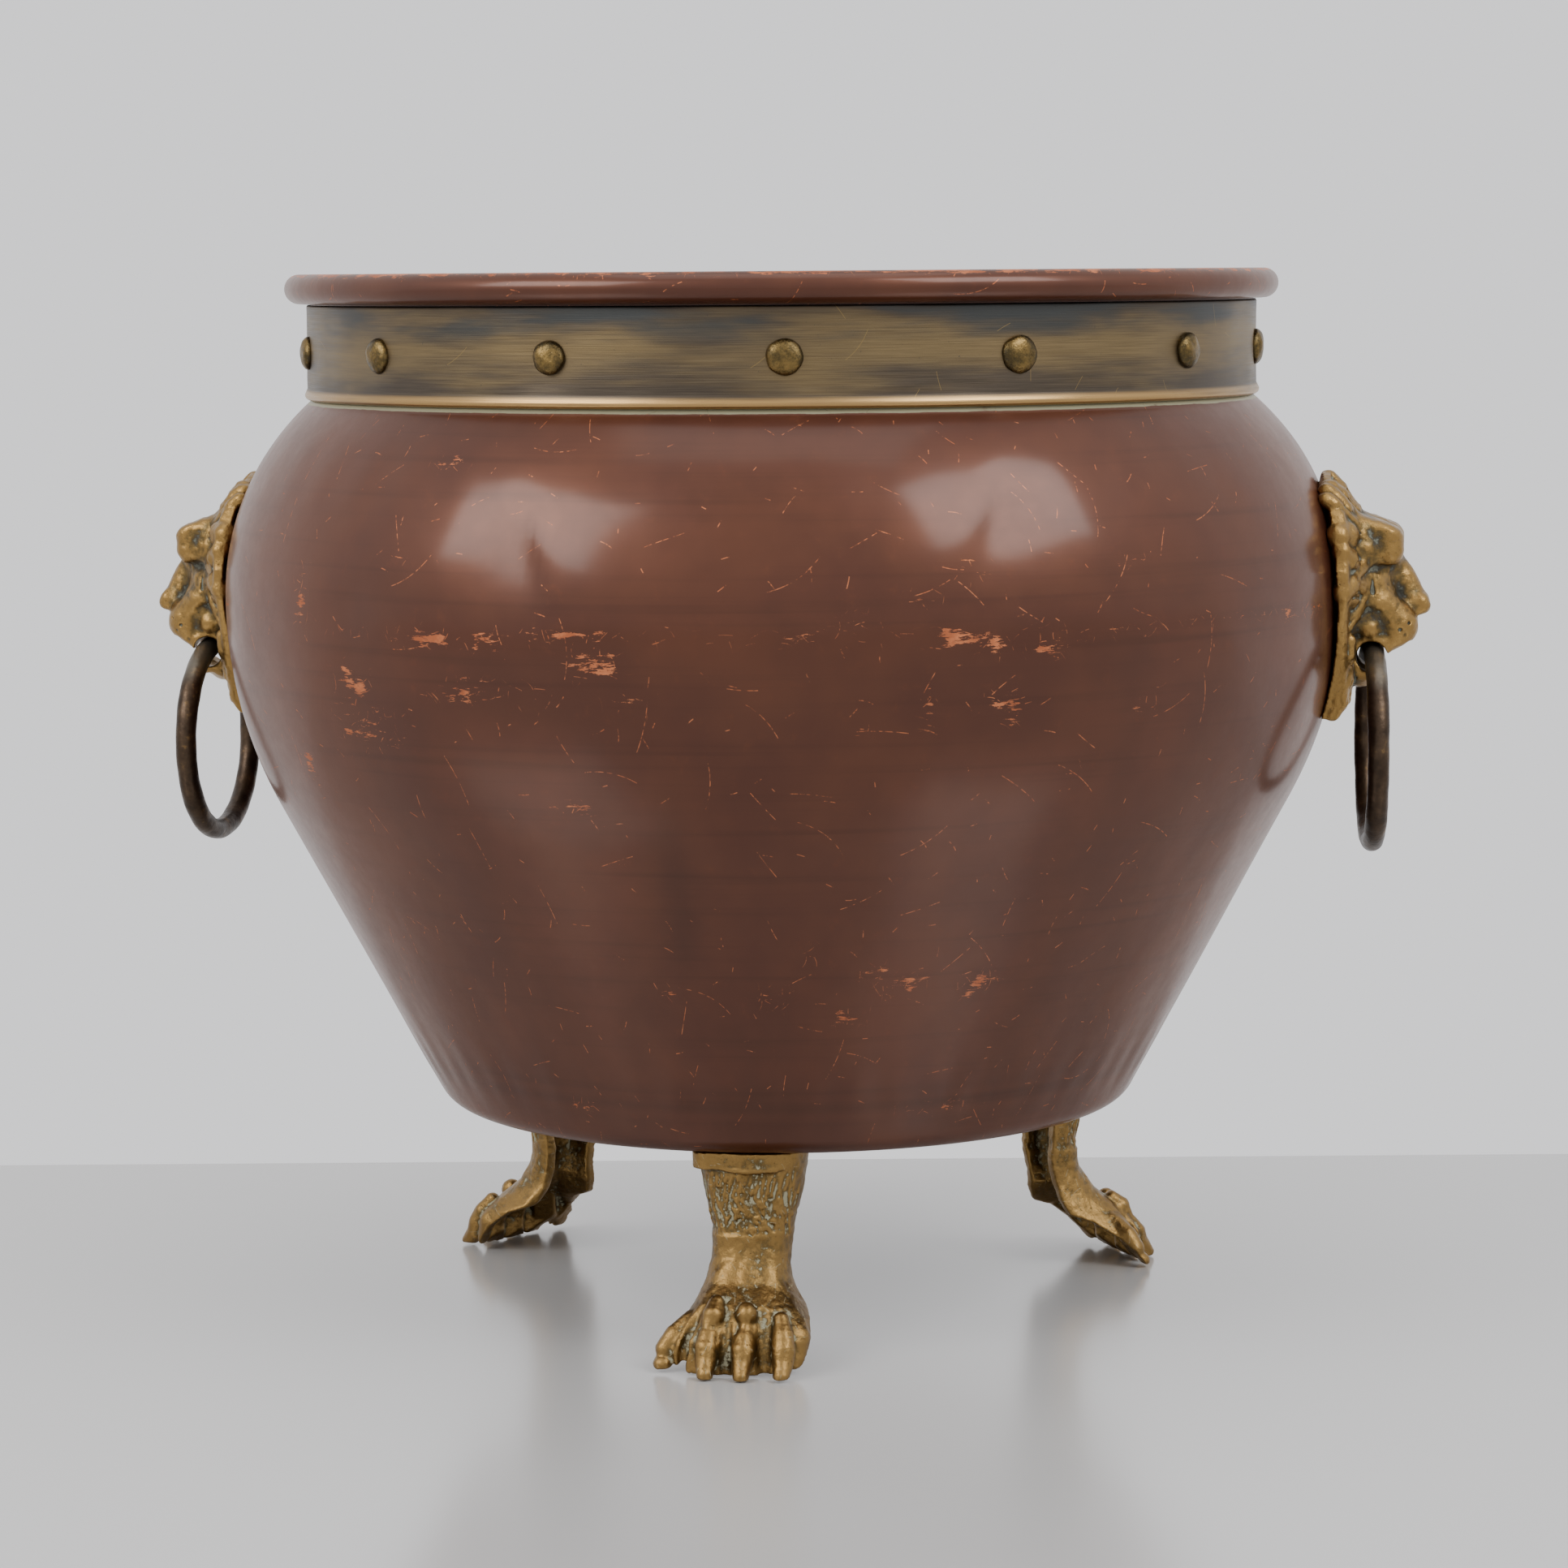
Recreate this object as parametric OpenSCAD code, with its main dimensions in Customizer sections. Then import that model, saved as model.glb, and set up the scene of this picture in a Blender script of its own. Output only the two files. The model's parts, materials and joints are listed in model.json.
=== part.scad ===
// Copper planter pot with a riveted brass neck band, two lion-mask ring handles and three paw feet.
// Millimetres. Z is the pot's axis and the paws stand on z = 0. The front paw points to -Y, and the
// handles are on +X (right) and -X (left).

/* [Pot] */
// Height of the flat underside above the ground
base_z = 57; // [52:0.5:62]
// Radius of the belly at its widest line
belly_r = 156.5; // [150:0.5:162]
// Height of the widest line
belly_z = 200; // [194:0.5:206]
// Radius of the arc that runs from the widest line down to the cone
belly_arc = 120; // [110:1:130]
// Slope of the cone from the vertical, in degrees
cone_tilt = 28.2; // [26:0.2:30]
// Radius of the rounded edge round the base
base_edge_r = 9; // [6:0.5:12]
// Thickness of the copper sheet
wall = 1.2; // [1:0.1:1.6]

/* [Neck and rim] */
// Outer radius of the neck's copper wall
neck_r = 131.5; // [128:0.5:134]
// Height at which the shoulder meets the neck
neck_z = 255.2; // [252:0.2:258]
// Height of the centre of the rolled rim
roll_z = 285.8; // [284:0.2:288]
// Outer radius of the roll's section
roll_r = 4.1; // [3.8:0.1:4.6]
// Radius of the wire inside the roll
wire_r = 2.8; // [2.4:0.1:2.8]

/* [Neck band and rivets] */
// Thickness of the brass band
band_t = 1; // [0.8:0.1:1.4]
// Lower edge of the band
band_z0 = 255.3; // [255.2:0.1:258]
// Upper edge of the band, just under the roll
band_z1 = 281.4; // [278:0.1:281.4]
// Number of rivets round the band
rivet_count = 14; // [8:1:18]
// Radius of a rivet's domed head
rivet_head_r = 4.8; // [3.5:0.1:5.5]
// Height of a rivet's domed head
rivet_head_h = 2.4; // [1.5:0.1:3]
// Radius of a rivet's shank
rivet_shank_r = 1.6; // [1.2:0.1:2]
// Turn of the first rivet from the front foot towards the right handle, in degrees
rivet_turn = 8.4; // [0:0.1:12]
// How far the hand-set rivets drift from even spacing, in degrees
rivet_drift = 2.6; // [0:0.1:4]

/* [Handles] */
// Distance of a ring's hinge line from the pot's axis
ring_axis_r = 165; // [164:0.5:167]
// Height of a ring's hinge line
ring_axis_z = 183; // [182:0.5:184]
// Radius of a ring, to the middle of its wire
ring_r = 26.8; // [26:0.1:28]
// Radius of a ring's wire
ring_wire_r = 3; // [2.6:0.1:3]
// Slack turn of each ring in its loose hole, front branch outwards, in degrees
ring_yaw = 4.8; // [0:0.1:5]
// Thickness of a mask's rim where it lies on the pot
mask_t = 3.7; // [3:0.1:4.5]
// Height of the flat lower end of a mask
mask_z0 = 166; // [164:0.5:168]
// Radius of a mask's round outline
mask_r = 27; // [25:0.5:28]
// Height of the centre of a mask's round outline
mask_z = 207.3; // [205:0.1:209]
// Half width of a lion's jaw, which carries the ring
jaw_w = 10.5; // [10:0.1:11]
// Distance of a lion's nose tip from the pot's axis
nose_r = 180.5; // [178:0.5:182]

/* [Feet] */
// Distance of the middle toes' tips from the pot's axis
toe_r = 114; // [110:0.5:116]
// Half width of a paw across its toes
paw_w = 20; // [18:0.5:21]
// Half width of a leg at its top
leg_top_w = 14.5; // [13:0.5:16]
// Half width of a leg at the ankle
ankle_w = 10.2; // [9.5:0.1:11]
// Height of the ankle
ankle_z = 31; // [28:1:34]

/* [Fixings] */
// Radius of the studs and screws
screw_r = 1.75; // [1.5:0.05:1.8]
// Radius of the clearance round a stud or screw
screw_play = 0.1; // [0.05:0.05:0.15]
// Thickness of a nut
nut_h = 3.2; // [2.5:0.1:4]
// Radius of a washer
washer_r = 4.8; // [4.5:0.1:5]
// Thickness of a washer
washer_t = 0.8; // [0.5:0.1:1]

/* [Hidden] */

copper = "#6b4a3c";
band_brass = "#8a7240";
cast_brass = "#b08d4a";
ring_bronze = "#54432c";
iron = "#4b4a48";

right = 0;
left = 180;
front = -90;
back_right = 30;
back_left = 150;

cut = 1;                                    // how far a cutter runs past the face that it cuts

// The shoulder's arc leaves the widest line upright and ends where the neck starts
shoulder_arc = (pow(neck_z - belly_z, 2) + pow(belly_r - neck_r, 2)) / (2 * (belly_r - neck_r));
shoulder_x = belly_r - shoulder_arc;
belly_x = belly_r - belly_arc;

// Where the belly's arc becomes the cone, and the centre of the rounded edge that the cone runs into
cone_top = [belly_x + belly_arc * cos(cone_tilt), belly_z - belly_arc * sin(cone_tilt)];
edge_z = base_z + base_edge_r;
edge_touch_z = edge_z - base_edge_r * sin(cone_tilt);
edge_x = cone_top.x - (cone_top.y - edge_touch_z) * tan(cone_tilt) - base_edge_r * cos(cone_tilt);

roll_x = neck_r - wall + roll_r;
roll_tunnel_r = roll_r - wall;
roll_end = -125;                            // angle at which the rolled sheet ends, near the neck
band_r = neck_r + band_t;
rivet_z = (band_z0 + band_z1) / 2;
rivet_tail_r = 3.2;
rivet_tail_h = 0.9;

// The ring's wire crosses the jaw's side walls at grip_y, where it dips below the ring's top
grip_y = jaw_w - 1.5;
ring_dip = ring_r - sqrt(ring_r * ring_r - grip_y * grip_y);
ring_z = ring_axis_z + ring_dip - ring_r;
jaw_bore_r = 4.4;
mouth_r = 5.3;
mouth_w = jaw_w - 3;

stud_heights = [192, 216];
stud_in = 8;                                // length of a stud inside the pot
stud_out = 5;                               // depth of a stud in the mask
sole_x = 105;                               // middle of the flat that a paw stands on
foot_screw_x = 75;
foot_screw_y = 6.5;
flange_t = 4.5;
screw_head_r = 3.8;
screw_head_h = 2.6;

// Points along an arc about centre c, from angle a0 to a1, leaving out the first few if asked
function arc(c, r, a0, a1, steps, skip = 0) =
    [for (i = [skip:steps]) c + r * [cos(a0 + (a1 - a0) * i / steps), sin(a0 + (a1 - a0) * i / steps)]];

function flipped(list) = [for (i = [len(list) - 1:-1:0]) list[i]];

// Half outline of the pot from the top of its neck to the middle of its base, depth inside the surface
function outline(depth, top) = concat(
    [[neck_r - depth, top]],
    arc([shoulder_x, belly_z], shoulder_arc - depth,
        acos((neck_r - depth - shoulder_x) / (shoulder_arc - depth)), 0, 20),
    arc([belly_x, belly_z], belly_arc - depth, 0, -cone_tilt, 12, 1),
    arc([edge_x, edge_z], base_edge_r - depth, -cone_tilt, -90, 10),
    [[0, base_z + depth]]
);

// Tilt of the pot's surface at a height on the shoulder or belly, and its radius there
function lean(z) = z > belly_z ? asin((z - belly_z) / shoulder_arc) : -asin((belly_z - z) / belly_arc);
function pot_r(z) = z > belly_z ? shoulder_x + shoulder_arc * cos(lean(z)) : belly_x + belly_arc * cos(lean(z));

// Angles of the hand-set rivets round the neck
function rivet_angle(i) = front + rivet_turn + i * 360 / rivet_count + rivet_drift * sin(i * 360 / rivet_count);

// ---- helpers ----

// The pot as one solid, grown by a clearance or a plate's thickness
module pot_solid(grow) {
    rotate_extrude($fn = 180)
        polygon(concat(outline(-grow, roll_z), [[0, roll_z]]));
}

// Bars and balls of the castings: a bar lies across the mask, a ball sits at [outward, across, up]
module bar(x, z, r, half) {
    translate([x, half, z])
        rotate([90, 0, 0])
            cylinder(r = r, h = 2 * half, $fn = 48);
}

module ball(p, r) {
    translate(p)
        sphere(r = r, $fn = 36);
}

// A round rod from one point to another
module rod(from, to, r0, r1) {
    v = to - from;
    translate(from)
        rotate([0, acos(v.z / norm(v)), atan2(v.y, v.x)])
            cylinder(r1 = r0, r2 = r1, h = norm(v), $fn = 32);
}

// Puts its children on the pot's surface at a stud's height, with +Z along the outward normal
module at_stud(z) {
    translate([pot_r(z), 0, z])
        rotate([0, 90 - lean(z), 0])
            children();
}

module at_rivets() {
    for (i = [0:rivet_count - 1])
        rotate([0, 0, rivet_angle(i)])
            translate([0, 0, rivet_z])
                rotate([0, 90, 0])
                    children();
}

// Puts its children at a foot's two screws, on the underside of the base
module at_foot_screws(turn) {
    for (side = [-1, 1])
        rotate([0, 0, turn])
            translate([foot_screw_x, side * foot_screw_y, base_z])
                children();
}

module hex_nut() {
    difference() {
        cylinder(r = 4.1, h = nut_h, $fn = 6);
        translate([0, 0, -cut])
            cylinder(r = screw_r + 0.05, h = nut_h + 2 * cut, $fn = 32);
    }
}

module washer() {
    difference() {
        cylinder(r = washer_r, h = washer_t, $fn = 48);
        translate([0, 0, -cut])
            cylinder(r = screw_r + screw_play, h = washer_t + 2 * cut, $fn = 32);
    }
}

// ---- pot, rim and band ----

// Section of the copper sheet: base, cone, belly, shoulder and neck, then outwards over the rim's wire
module sheet_section() {
    polygon(concat(
        flipped(outline(0, roll_z - 1)),
        arc([roll_x, roll_z], roll_tunnel_r, 180, roll_end, 36),
        arc([roll_x, roll_z], roll_r, roll_end, 180, 36),
        outline(wall, roll_z - 1)
    ));
}

module body() {
    color(copper)
        difference() {
            rotate_extrude($fn = 180)
                sheet_section();
            at_rivets()
                translate([0, 0, neck_r - wall - 2 * cut])
                    cylinder(r = rivet_shank_r + 0.05, h = wall + 3 * cut, $fn = 32);
            for (turn = [right, left], z = stud_heights)
                rotate([0, 0, turn])
                    at_stud(z)
                        translate([0, 0, -wall - cut])
                            cylinder(r = screw_r + screw_play, h = wall + 2 * cut, $fn = 32);
            for (turn = [front, back_right, back_left])
                at_foot_screws(turn)
                    translate([0, 0, -cut])
                        cylinder(r = screw_r + screw_play, h = wall + 2 * cut, $fn = 32);
        }
}

module rim_wire() {
    color(iron)
        rotate_extrude($fn = 180)
            translate([roll_x, roll_z])
                circle(r = wire_r, $fn = 48);
}

module neck_band() {
    color(band_brass)
        difference() {
            translate([0, 0, band_z0])
                cylinder(r = band_r, h = band_z1 - band_z0, $fn = 180);
            translate([0, 0, band_z0 - cut])
                cylinder(r = neck_r, h = band_z1 - band_z0 + 2 * cut, $fn = 180);
            at_rivets()
                translate([0, 0, neck_r - 2 * cut])
                    cylinder(r = rivet_shank_r + 0.05, h = band_t + 3 * cut, $fn = 32);
        }
}

// One rivet: domed head outside the band, shank through band and neck, hammered tail inside
module rivet() {
    dome_r = (rivet_head_r * rivet_head_r + rivet_head_h * rivet_head_h) / (2 * rivet_head_h);
    tail_x = sqrt(pow(neck_r - wall, 2) - rivet_tail_r * rivet_tail_r);
    translate([0, 0, band_r])
        intersection() {
            translate([0, 0, rivet_head_h - dome_r])
                sphere(r = dome_r, $fn = 64);
            cylinder(r = rivet_head_r, h = rivet_head_h, $fn = 48);
        }
    translate([0, 0, tail_x - rivet_tail_h])
        cylinder(r = rivet_tail_r, h = rivet_tail_h, $fn = 32);
    translate([0, 0, tail_x - rivet_tail_h])
        cylinder(r = rivet_shank_r, h = band_r - tail_x + rivet_tail_h + 0.1, $fn = 32);
}

module band_rivets() {
    color(cast_brass)
        at_rivets()
            rivet();
}

// ---- lion masks and rings ----

// Shield outline of a mask, seen from outside: round mane above, narrowing to a flat beard below
module mask_outline() {
    translate([0, mask_z])
        circle(r = mask_r, $fn = 72);
    polygon([[-23, 194], [-13, mask_z0], [13, mask_z0], [23, 194]]);
}

module lion_face() {
    ball([149, 0, 208], 20);
    for (side = [-1, 1]) {
        ball([163, side * 9, 218], 9);
        ball([164, side * 9, 207.5], 3.6);
        ball([157.5, side * 15, 199], 7);
        ball([155.5, side * 17, 227], 6);
    }
    bar(164, 218, 9, 9);
    rod([165, 0, 216], [nose_r - 6.5, 0, 199], 7, 5);
    bar(nose_r - 6, 196.5, 6, 5);
    bar(167, 191.5, 10, jaw_w);
    bar(ring_axis_r, ring_axis_z, 7, jaw_w);
    bar(160, 181, 6, jaw_w - 1);
}

module mask(turn) {
    color(cast_brass)
        rotate([0, 0, turn])
            difference() {
                union() {
                    intersection() {
                        pot_solid(mask_t);
                        rotate([90, 0, 90])
                            linear_extrude(height = nose_r)
                                mask_outline();
                    }
                    lion_face();
                }
                pot_solid(0);
                bar(ring_axis_r, ring_axis_z, jaw_bore_r, jaw_w + 3 * cut);
                bar(ring_axis_r, ring_axis_z, mouth_r, mouth_w);
                for (z = stud_heights)
                    at_stud(z)
                        translate([0, 0, -cut])
                            cylinder(r = screw_r + 0.05, h = stud_out + 0.2 + cut, $fn = 32);
            }
}

module ring(turn, yaw) {
    color(ring_bronze)
        rotate([0, 0, turn])
            translate([ring_axis_r, 0, ring_z])
                rotate([0, 90, yaw])
                    rotate_extrude($fn = 96)
                        translate([ring_r, 0])
                            circle(r = ring_wire_r, $fn = 40);
}

// ---- mask fixings, inside the pot ----

washer_lift = 0.3;                          // a flat washer stands off the hollow curve of the wall

module mask_studs(turn) {
    color(cast_brass)
        rotate([0, 0, turn])
            for (z = stud_heights)
                at_stud(z)
                    translate([0, 0, -stud_in])
                        cylinder(r = screw_r, h = stud_in + stud_out, $fn = 32);
}

module mask_washers(turn) {
    color(cast_brass)
        rotate([0, 0, turn])
            for (z = stud_heights)
                at_stud(z)
                    translate([0, 0, -wall - washer_lift - washer_t])
                        washer();
}

module mask_nuts(turn) {
    color(cast_brass)
        rotate([0, 0, turn])
            for (z = stud_heights)
                at_stud(z)
                    translate([0, 0, -wall - washer_lift - washer_t - nut_h])
                        hex_nut();
}

// ---- paw feet ----

// A flat oval used as one station of a leg, at distance x and height z
module station(x, z, half_x, half_y, h = 0.5) {
    translate([x, 0, z])
        scale([half_x, half_y, 1])
            cylinder(r = 1, h = h, $fn = 24);
}

// One toe: a knuckle ball and a round ridge down to the tip
module toe(y, reach) {
    knuckle = [100, y * 0.86, 15.5];
    tip = [reach - 4.4, y, 4.4];
    ball(knuckle, 5.4);
    rod(knuckle, tip, 5, 4);
    ball(tip, 4.4);
}

module foot(turn) {
    toe_out = paw_w - 4.6;
    color(cast_brass)
        rotate([0, 0, turn])
            difference() {
                union() {
                    hull() {
                        station(77, base_z - 0.5, 15.5, leg_top_w);
                        station(78, base_z - 6, 13.5, leg_top_w - 1);
                        station(80, ankle_z, 10.5, ankle_w);
                    }
                    hull() {
                        station(80, ankle_z, 10.5, ankle_w);
                        station(82, 18, 7, ankle_w + 1);
                        station(97, 14, 8, paw_w - 4.5);
                        station(sole_x, 0, 4, paw_w - 5);
                    }
                    for (side = [-1, 1]) {
                        toe(side * toe_out / 3, toe_r);
                        toe(side * toe_out, toe_r - 4.5);
                    }
                }
                // The casting is hollow at the back, from under the flange to the heel
                hull() {
                    station(72, base_z - flange_t - 3, 15, leg_top_w - 3.5);
                    station(73, ankle_z, 12.5, ankle_w - 3.2);
                    station(78, 10, 12, ankle_w - 1);
                }
                hull() {
                    station(72, base_z - flange_t - 3, 15, leg_top_w - 3.5);
                    station(foot_screw_x - 2, base_z - flange_t - 3, 12, 11, 3);
                }
                at_foot_screw_holes();
            }
}

module at_foot_screw_holes() {
    for (side = [-1, 1])
        translate([foot_screw_x, side * foot_screw_y, base_z - flange_t - cut])
            cylinder(r = screw_r + screw_play, h = flange_t + 2 * cut, $fn = 32);
}

// ---- foot fixings ----

module foot_screws(turn) {
    color(cast_brass)
        at_foot_screws(turn) {
            translate([0, 0, wall + washer_t])
                cylinder(r1 = screw_head_r, r2 = screw_head_r * 0.7, h = screw_head_h, $fn = 40);
            translate([0, 0, -flange_t - nut_h - 1])
                cylinder(r = screw_r, h = flange_t + nut_h + 1 + wall + washer_t + 0.1, $fn = 32);
        }
}

module foot_washers(turn) {
    color(cast_brass)
        at_foot_screws(turn)
            translate([0, 0, wall])
                washer();
}

module foot_nuts(turn) {
    color(cast_brass)
        at_foot_screws(turn)
            translate([0, 0, -flange_t - nut_h])
                hex_nut();
}

body();
rim_wire();
neck_band();
band_rivets();
mask(left);  // mask_left
mask(right);  // mask_right
ring(left, -ring_yaw);  // ring_left
ring(right, ring_yaw);  // ring_right
mask_studs(left);  // mask_studs_left
mask_studs(right);  // mask_studs_right
mask_washers(left);  // mask_washers_left
mask_washers(right);  // mask_washers_right
mask_nuts(left);  // mask_nuts_left
mask_nuts(right);  // mask_nuts_right
foot(front);  // foot_front
foot(back_left);  // foot_back_left
foot(back_right);  // foot_back_right
foot_screws(front);  // foot_screws_front
foot_screws(back_left);  // foot_screws_back_left
foot_screws(back_right);  // foot_screws_back_right
foot_washers(front);  // foot_washers_front
foot_washers(back_left);  // foot_washers_back_left
foot_washers(back_right);  // foot_washers_back_right
foot_nuts(front);  // foot_nuts_front
foot_nuts(back_left);  // foot_nuts_back_left
foot_nuts(back_right);  // foot_nuts_back_right
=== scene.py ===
"""Copper planter pot: brown patinated copper, riveted brass neck band, lion-mask ring handles, paw feet."""
import json
import math

import bpy
import numpy as np
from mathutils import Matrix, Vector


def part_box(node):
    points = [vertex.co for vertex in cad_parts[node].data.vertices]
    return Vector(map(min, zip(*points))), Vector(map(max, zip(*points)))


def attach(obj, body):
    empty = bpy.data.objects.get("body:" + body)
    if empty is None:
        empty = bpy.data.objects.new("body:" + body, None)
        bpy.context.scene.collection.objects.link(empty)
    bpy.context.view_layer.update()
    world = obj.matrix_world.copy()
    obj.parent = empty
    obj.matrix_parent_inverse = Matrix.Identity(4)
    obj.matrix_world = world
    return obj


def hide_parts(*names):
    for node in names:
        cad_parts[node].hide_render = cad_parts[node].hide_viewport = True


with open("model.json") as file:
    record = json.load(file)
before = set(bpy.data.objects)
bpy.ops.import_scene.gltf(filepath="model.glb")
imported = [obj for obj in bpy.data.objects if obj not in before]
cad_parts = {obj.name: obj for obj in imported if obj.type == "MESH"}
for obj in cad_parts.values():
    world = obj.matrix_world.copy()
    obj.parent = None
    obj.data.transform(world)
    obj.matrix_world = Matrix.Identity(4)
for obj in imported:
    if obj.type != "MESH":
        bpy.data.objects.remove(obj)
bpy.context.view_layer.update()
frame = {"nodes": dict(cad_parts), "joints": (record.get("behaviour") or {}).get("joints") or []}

import openvdb
from mathutils import Matrix, Vector

MM = 0.001

# ---------------------------------------------------------------- sizes, from the frame

body_low, body_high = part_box("body")
band_low, band_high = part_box("neck_band")
ring_low, ring_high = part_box("ring_right")
mask_low, mask_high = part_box("mask_right")
pivot = next(j["pos_m"] for j in frame["joints"] if j["child"] == "ring_right")

base_z = body_low[2] / MM                      # underside of the base
rim_top = body_high[2] / MM
belly_r = body_high[0] / MM                    # belly's largest radius
band_r = band_high[0] / MM
band_z0, band_z1 = band_low[2] / MM, band_high[2] / MM
pivot_r, pivot_z = pivot[0] / MM, pivot[2] / MM
ring_wire = 3.0
ring_r = (ring_high[2] - ring_low[2]) / MM / 2 - ring_wire
ring_yaw = math.asin(max((ring_high[0] - ring_low[0]) / MM / 2 - ring_wire, 0.0) / ring_r)
ring_z = (ring_high[2] + ring_low[2]) / MM / 2
mask_z0, mask_z1 = mask_low[2] / MM, mask_high[2] / MM

# The pot's half outline: shoulder and belly arcs, a cone, and a rounded edge round the base
wall = 1.2
band_t = 1.0
surface_r = 150.0                              # radius that turns into lengths along the surface
neck_r = band_r - band_t
neck_z = 255.2
belly_z = 200.0
belly_arc = 120.0
cone_tilt = math.radians(28.2)
edge_r = 9.0
roll_r = 4.1
roll_z = rim_top - roll_r
roll_x = neck_r - wall + roll_r
shoulder_arc = ((neck_z - belly_z) ** 2 + (belly_r - neck_r) ** 2) / (2 * (belly_r - neck_r))
shoulder_x = belly_r - shoulder_arc
belly_x = belly_r - belly_arc
cone_top = (belly_x + belly_arc * math.cos(cone_tilt), belly_z - belly_arc * math.sin(cone_tilt))
edge_z = base_z + edge_r
edge_x = (cone_top[0] - (cone_top[1] - edge_z + edge_r * math.sin(cone_tilt)) * math.tan(cone_tilt)
          - edge_r * math.cos(cone_tilt))

# ---------------------------------------------------------------- camera and lamps

CAMERA_TURN = math.radians(8.13)               # the camera stands this far round towards the right handle
CAMERA_FAR = 1.2528
CAMERA_HIGH = 0.2893
CAMERA_DIP = math.radians(6.56)
CAMERA_ROLL = math.radians(-0.42)
CAMERA_SWING = math.radians(0.012)
LENS_MM = 102.0


def make_camera():
    data = bpy.data.cameras.new("camera")
    data.sensor_width = 36.0
    data.lens = LENS_MM
    data.clip_start = 0.01
    camera = bpy.data.objects.new("camera", data)
    place = Matrix.Translation((CAMERA_FAR * math.sin(CAMERA_TURN), -CAMERA_FAR * math.cos(CAMERA_TURN),
                                CAMERA_HIGH))
    aim = (Matrix.Rotation(CAMERA_TURN + CAMERA_SWING, 4, "Z")
           @ Matrix.Rotation(math.pi / 2 - CAMERA_DIP, 4, "X") @ Matrix.Rotation(CAMERA_ROLL, 4, "Z"))
    camera.matrix_world = place @ aim
    bpy.context.collection.objects.link(camera)
    bpy.context.scene.camera = camera


def softbox(name, azimuth, elevation, far, width, height, watts, colour):
    """A rectangular lamp that faces the pot's belly from an azimuth (0 is the front) and an elevation."""
    data = bpy.data.lights.new(name, "AREA")
    data.shape = "RECTANGLE"
    data.size, data.size_y = width, height
    data.energy = watts
    data.color = colour
    lamp = bpy.data.objects.new(name, data)
    a, e = math.radians(azimuth), math.radians(elevation)
    centre = Vector((0, 0, belly_z * MM))
    towards = Vector((math.sin(a) * math.cos(e), -math.cos(a) * math.cos(e), math.sin(e)))
    lamp.location = centre + far * towards
    lamp.rotation_euler = (lamp.location - centre).to_track_quat("Z", "Y").to_euler()
    bpy.context.collection.objects.link(lamp)


# ---------------------------------------------------------------- node helpers

def srgb(code):
    """An sRGB hex colour as linear RGBA."""
    channels = [int(code[i:i + 2], 16) / 255 for i in (1, 3, 5)]
    return [c / 12.92 if c <= 0.04045 else ((c + 0.055) / 1.055) ** 2.4 for c in channels] + [1.0]


def put(tree, kind, settings=None, ins=None, out=0):
    """Adds a node with its settings, fills or links its inputs, and returns one of its outputs."""
    made = tree.nodes.new(kind)
    for name, value in (settings or {}).items():
        setattr(made, name, value)
    for name, value in (ins or {}).items():
        if isinstance(value, Value):
            tree.links.new(value.socket, made.inputs[name])
        else:
            made.inputs[name].default_value = value
    return Value(made.outputs[out])


class Value:
    """A node's output. Arithmetic with it adds Math nodes to its tree."""

    def __init__(self, socket):
        self.socket = socket
        self.tree = socket.id_data

    def beside(self, name):
        """Another output of the same node."""
        return Value(self.socket.node.outputs[name])

    def maths(self, how, *operands):
        return put(self.tree, "ShaderNodeMath", {"operation": how}, dict(enumerate(operands)))

    def __add__(self, other):
        return self.maths("ADD", self, other)

    def __sub__(self, other):
        return self.maths("SUBTRACT", self, other)

    def __rsub__(self, other):
        return self.maths("SUBTRACT", other, self)

    def __mul__(self, other):
        return self.maths("MULTIPLY", self, other)

    def __truediv__(self, other):
        return self.maths("DIVIDE", self, other)

    def __abs__(self):
        return self.maths("ABSOLUTE", self)

    def __lt__(self, other):
        return self.maths("LESS_THAN", self, other)

    def __or__(self, other):
        """The greater of the two."""
        return self.maths("MAXIMUM", self, other)


def new_material(name):
    """An empty material; returns it, its tree and its output's surface socket."""
    material = bpy.data.materials.new(name)
    material.use_nodes = True
    tree = material.node_tree
    tree.nodes.clear()
    surface = tree.nodes.new("ShaderNodeOutputMaterial").inputs["Surface"]
    return material, tree, surface


# ---------------------------------------------------------------- mesh helpers

def mesh_object(name, points, faces, material=None, smooth=True):
    """A mesh object from points in millimetres and a list or array of faces."""
    mesh = bpy.data.meshes.new(name)
    points = np.asarray(points, dtype=np.float32) * MM
    if isinstance(faces, np.ndarray):
        count, corners = faces.shape
        mesh.vertices.add(len(points))
        mesh.vertices.foreach_set("co", points.ravel())
        mesh.loops.add(count * corners)
        mesh.loops.foreach_set("vertex_index", faces.astype(np.int32).ravel())
        mesh.polygons.add(count)
        mesh.polygons.foreach_set("loop_start", np.arange(0, count * corners, corners, dtype=np.int32))
        mesh.update(calc_edges=True)
        mesh.validate()
    else:
        mesh.from_pydata(points.tolist(), [], faces)
    mesh.polygons.foreach_set("use_smooth", np.full(len(mesh.polygons), smooth))
    made = bpy.data.objects.new(name, mesh)
    bpy.context.collection.objects.link(made)
    if material:
        mesh.materials.append(material)
    return made


def arc(cx, cz, r, a0, a1, steps):
    """Points along an arc in the half section, angles in degrees."""
    angles = np.radians(np.linspace(a0, a1, steps + 1))
    return np.stack([cx + r * np.cos(angles), cz + r * np.sin(angles)], axis=1)


def wrapped_quads(rows, columns):
    """Quads over a grid of points that closes on itself both ways."""
    i, j = np.meshgrid(np.arange(rows), np.arange(columns), indexing="ij")
    row, next_row = i * columns, (i + 1) % rows * columns
    side = (j + 1) % columns
    quads = np.stack([row + j, row + side, next_row + side, next_row + j], axis=2)
    return quads.reshape(-1, 4)


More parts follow.
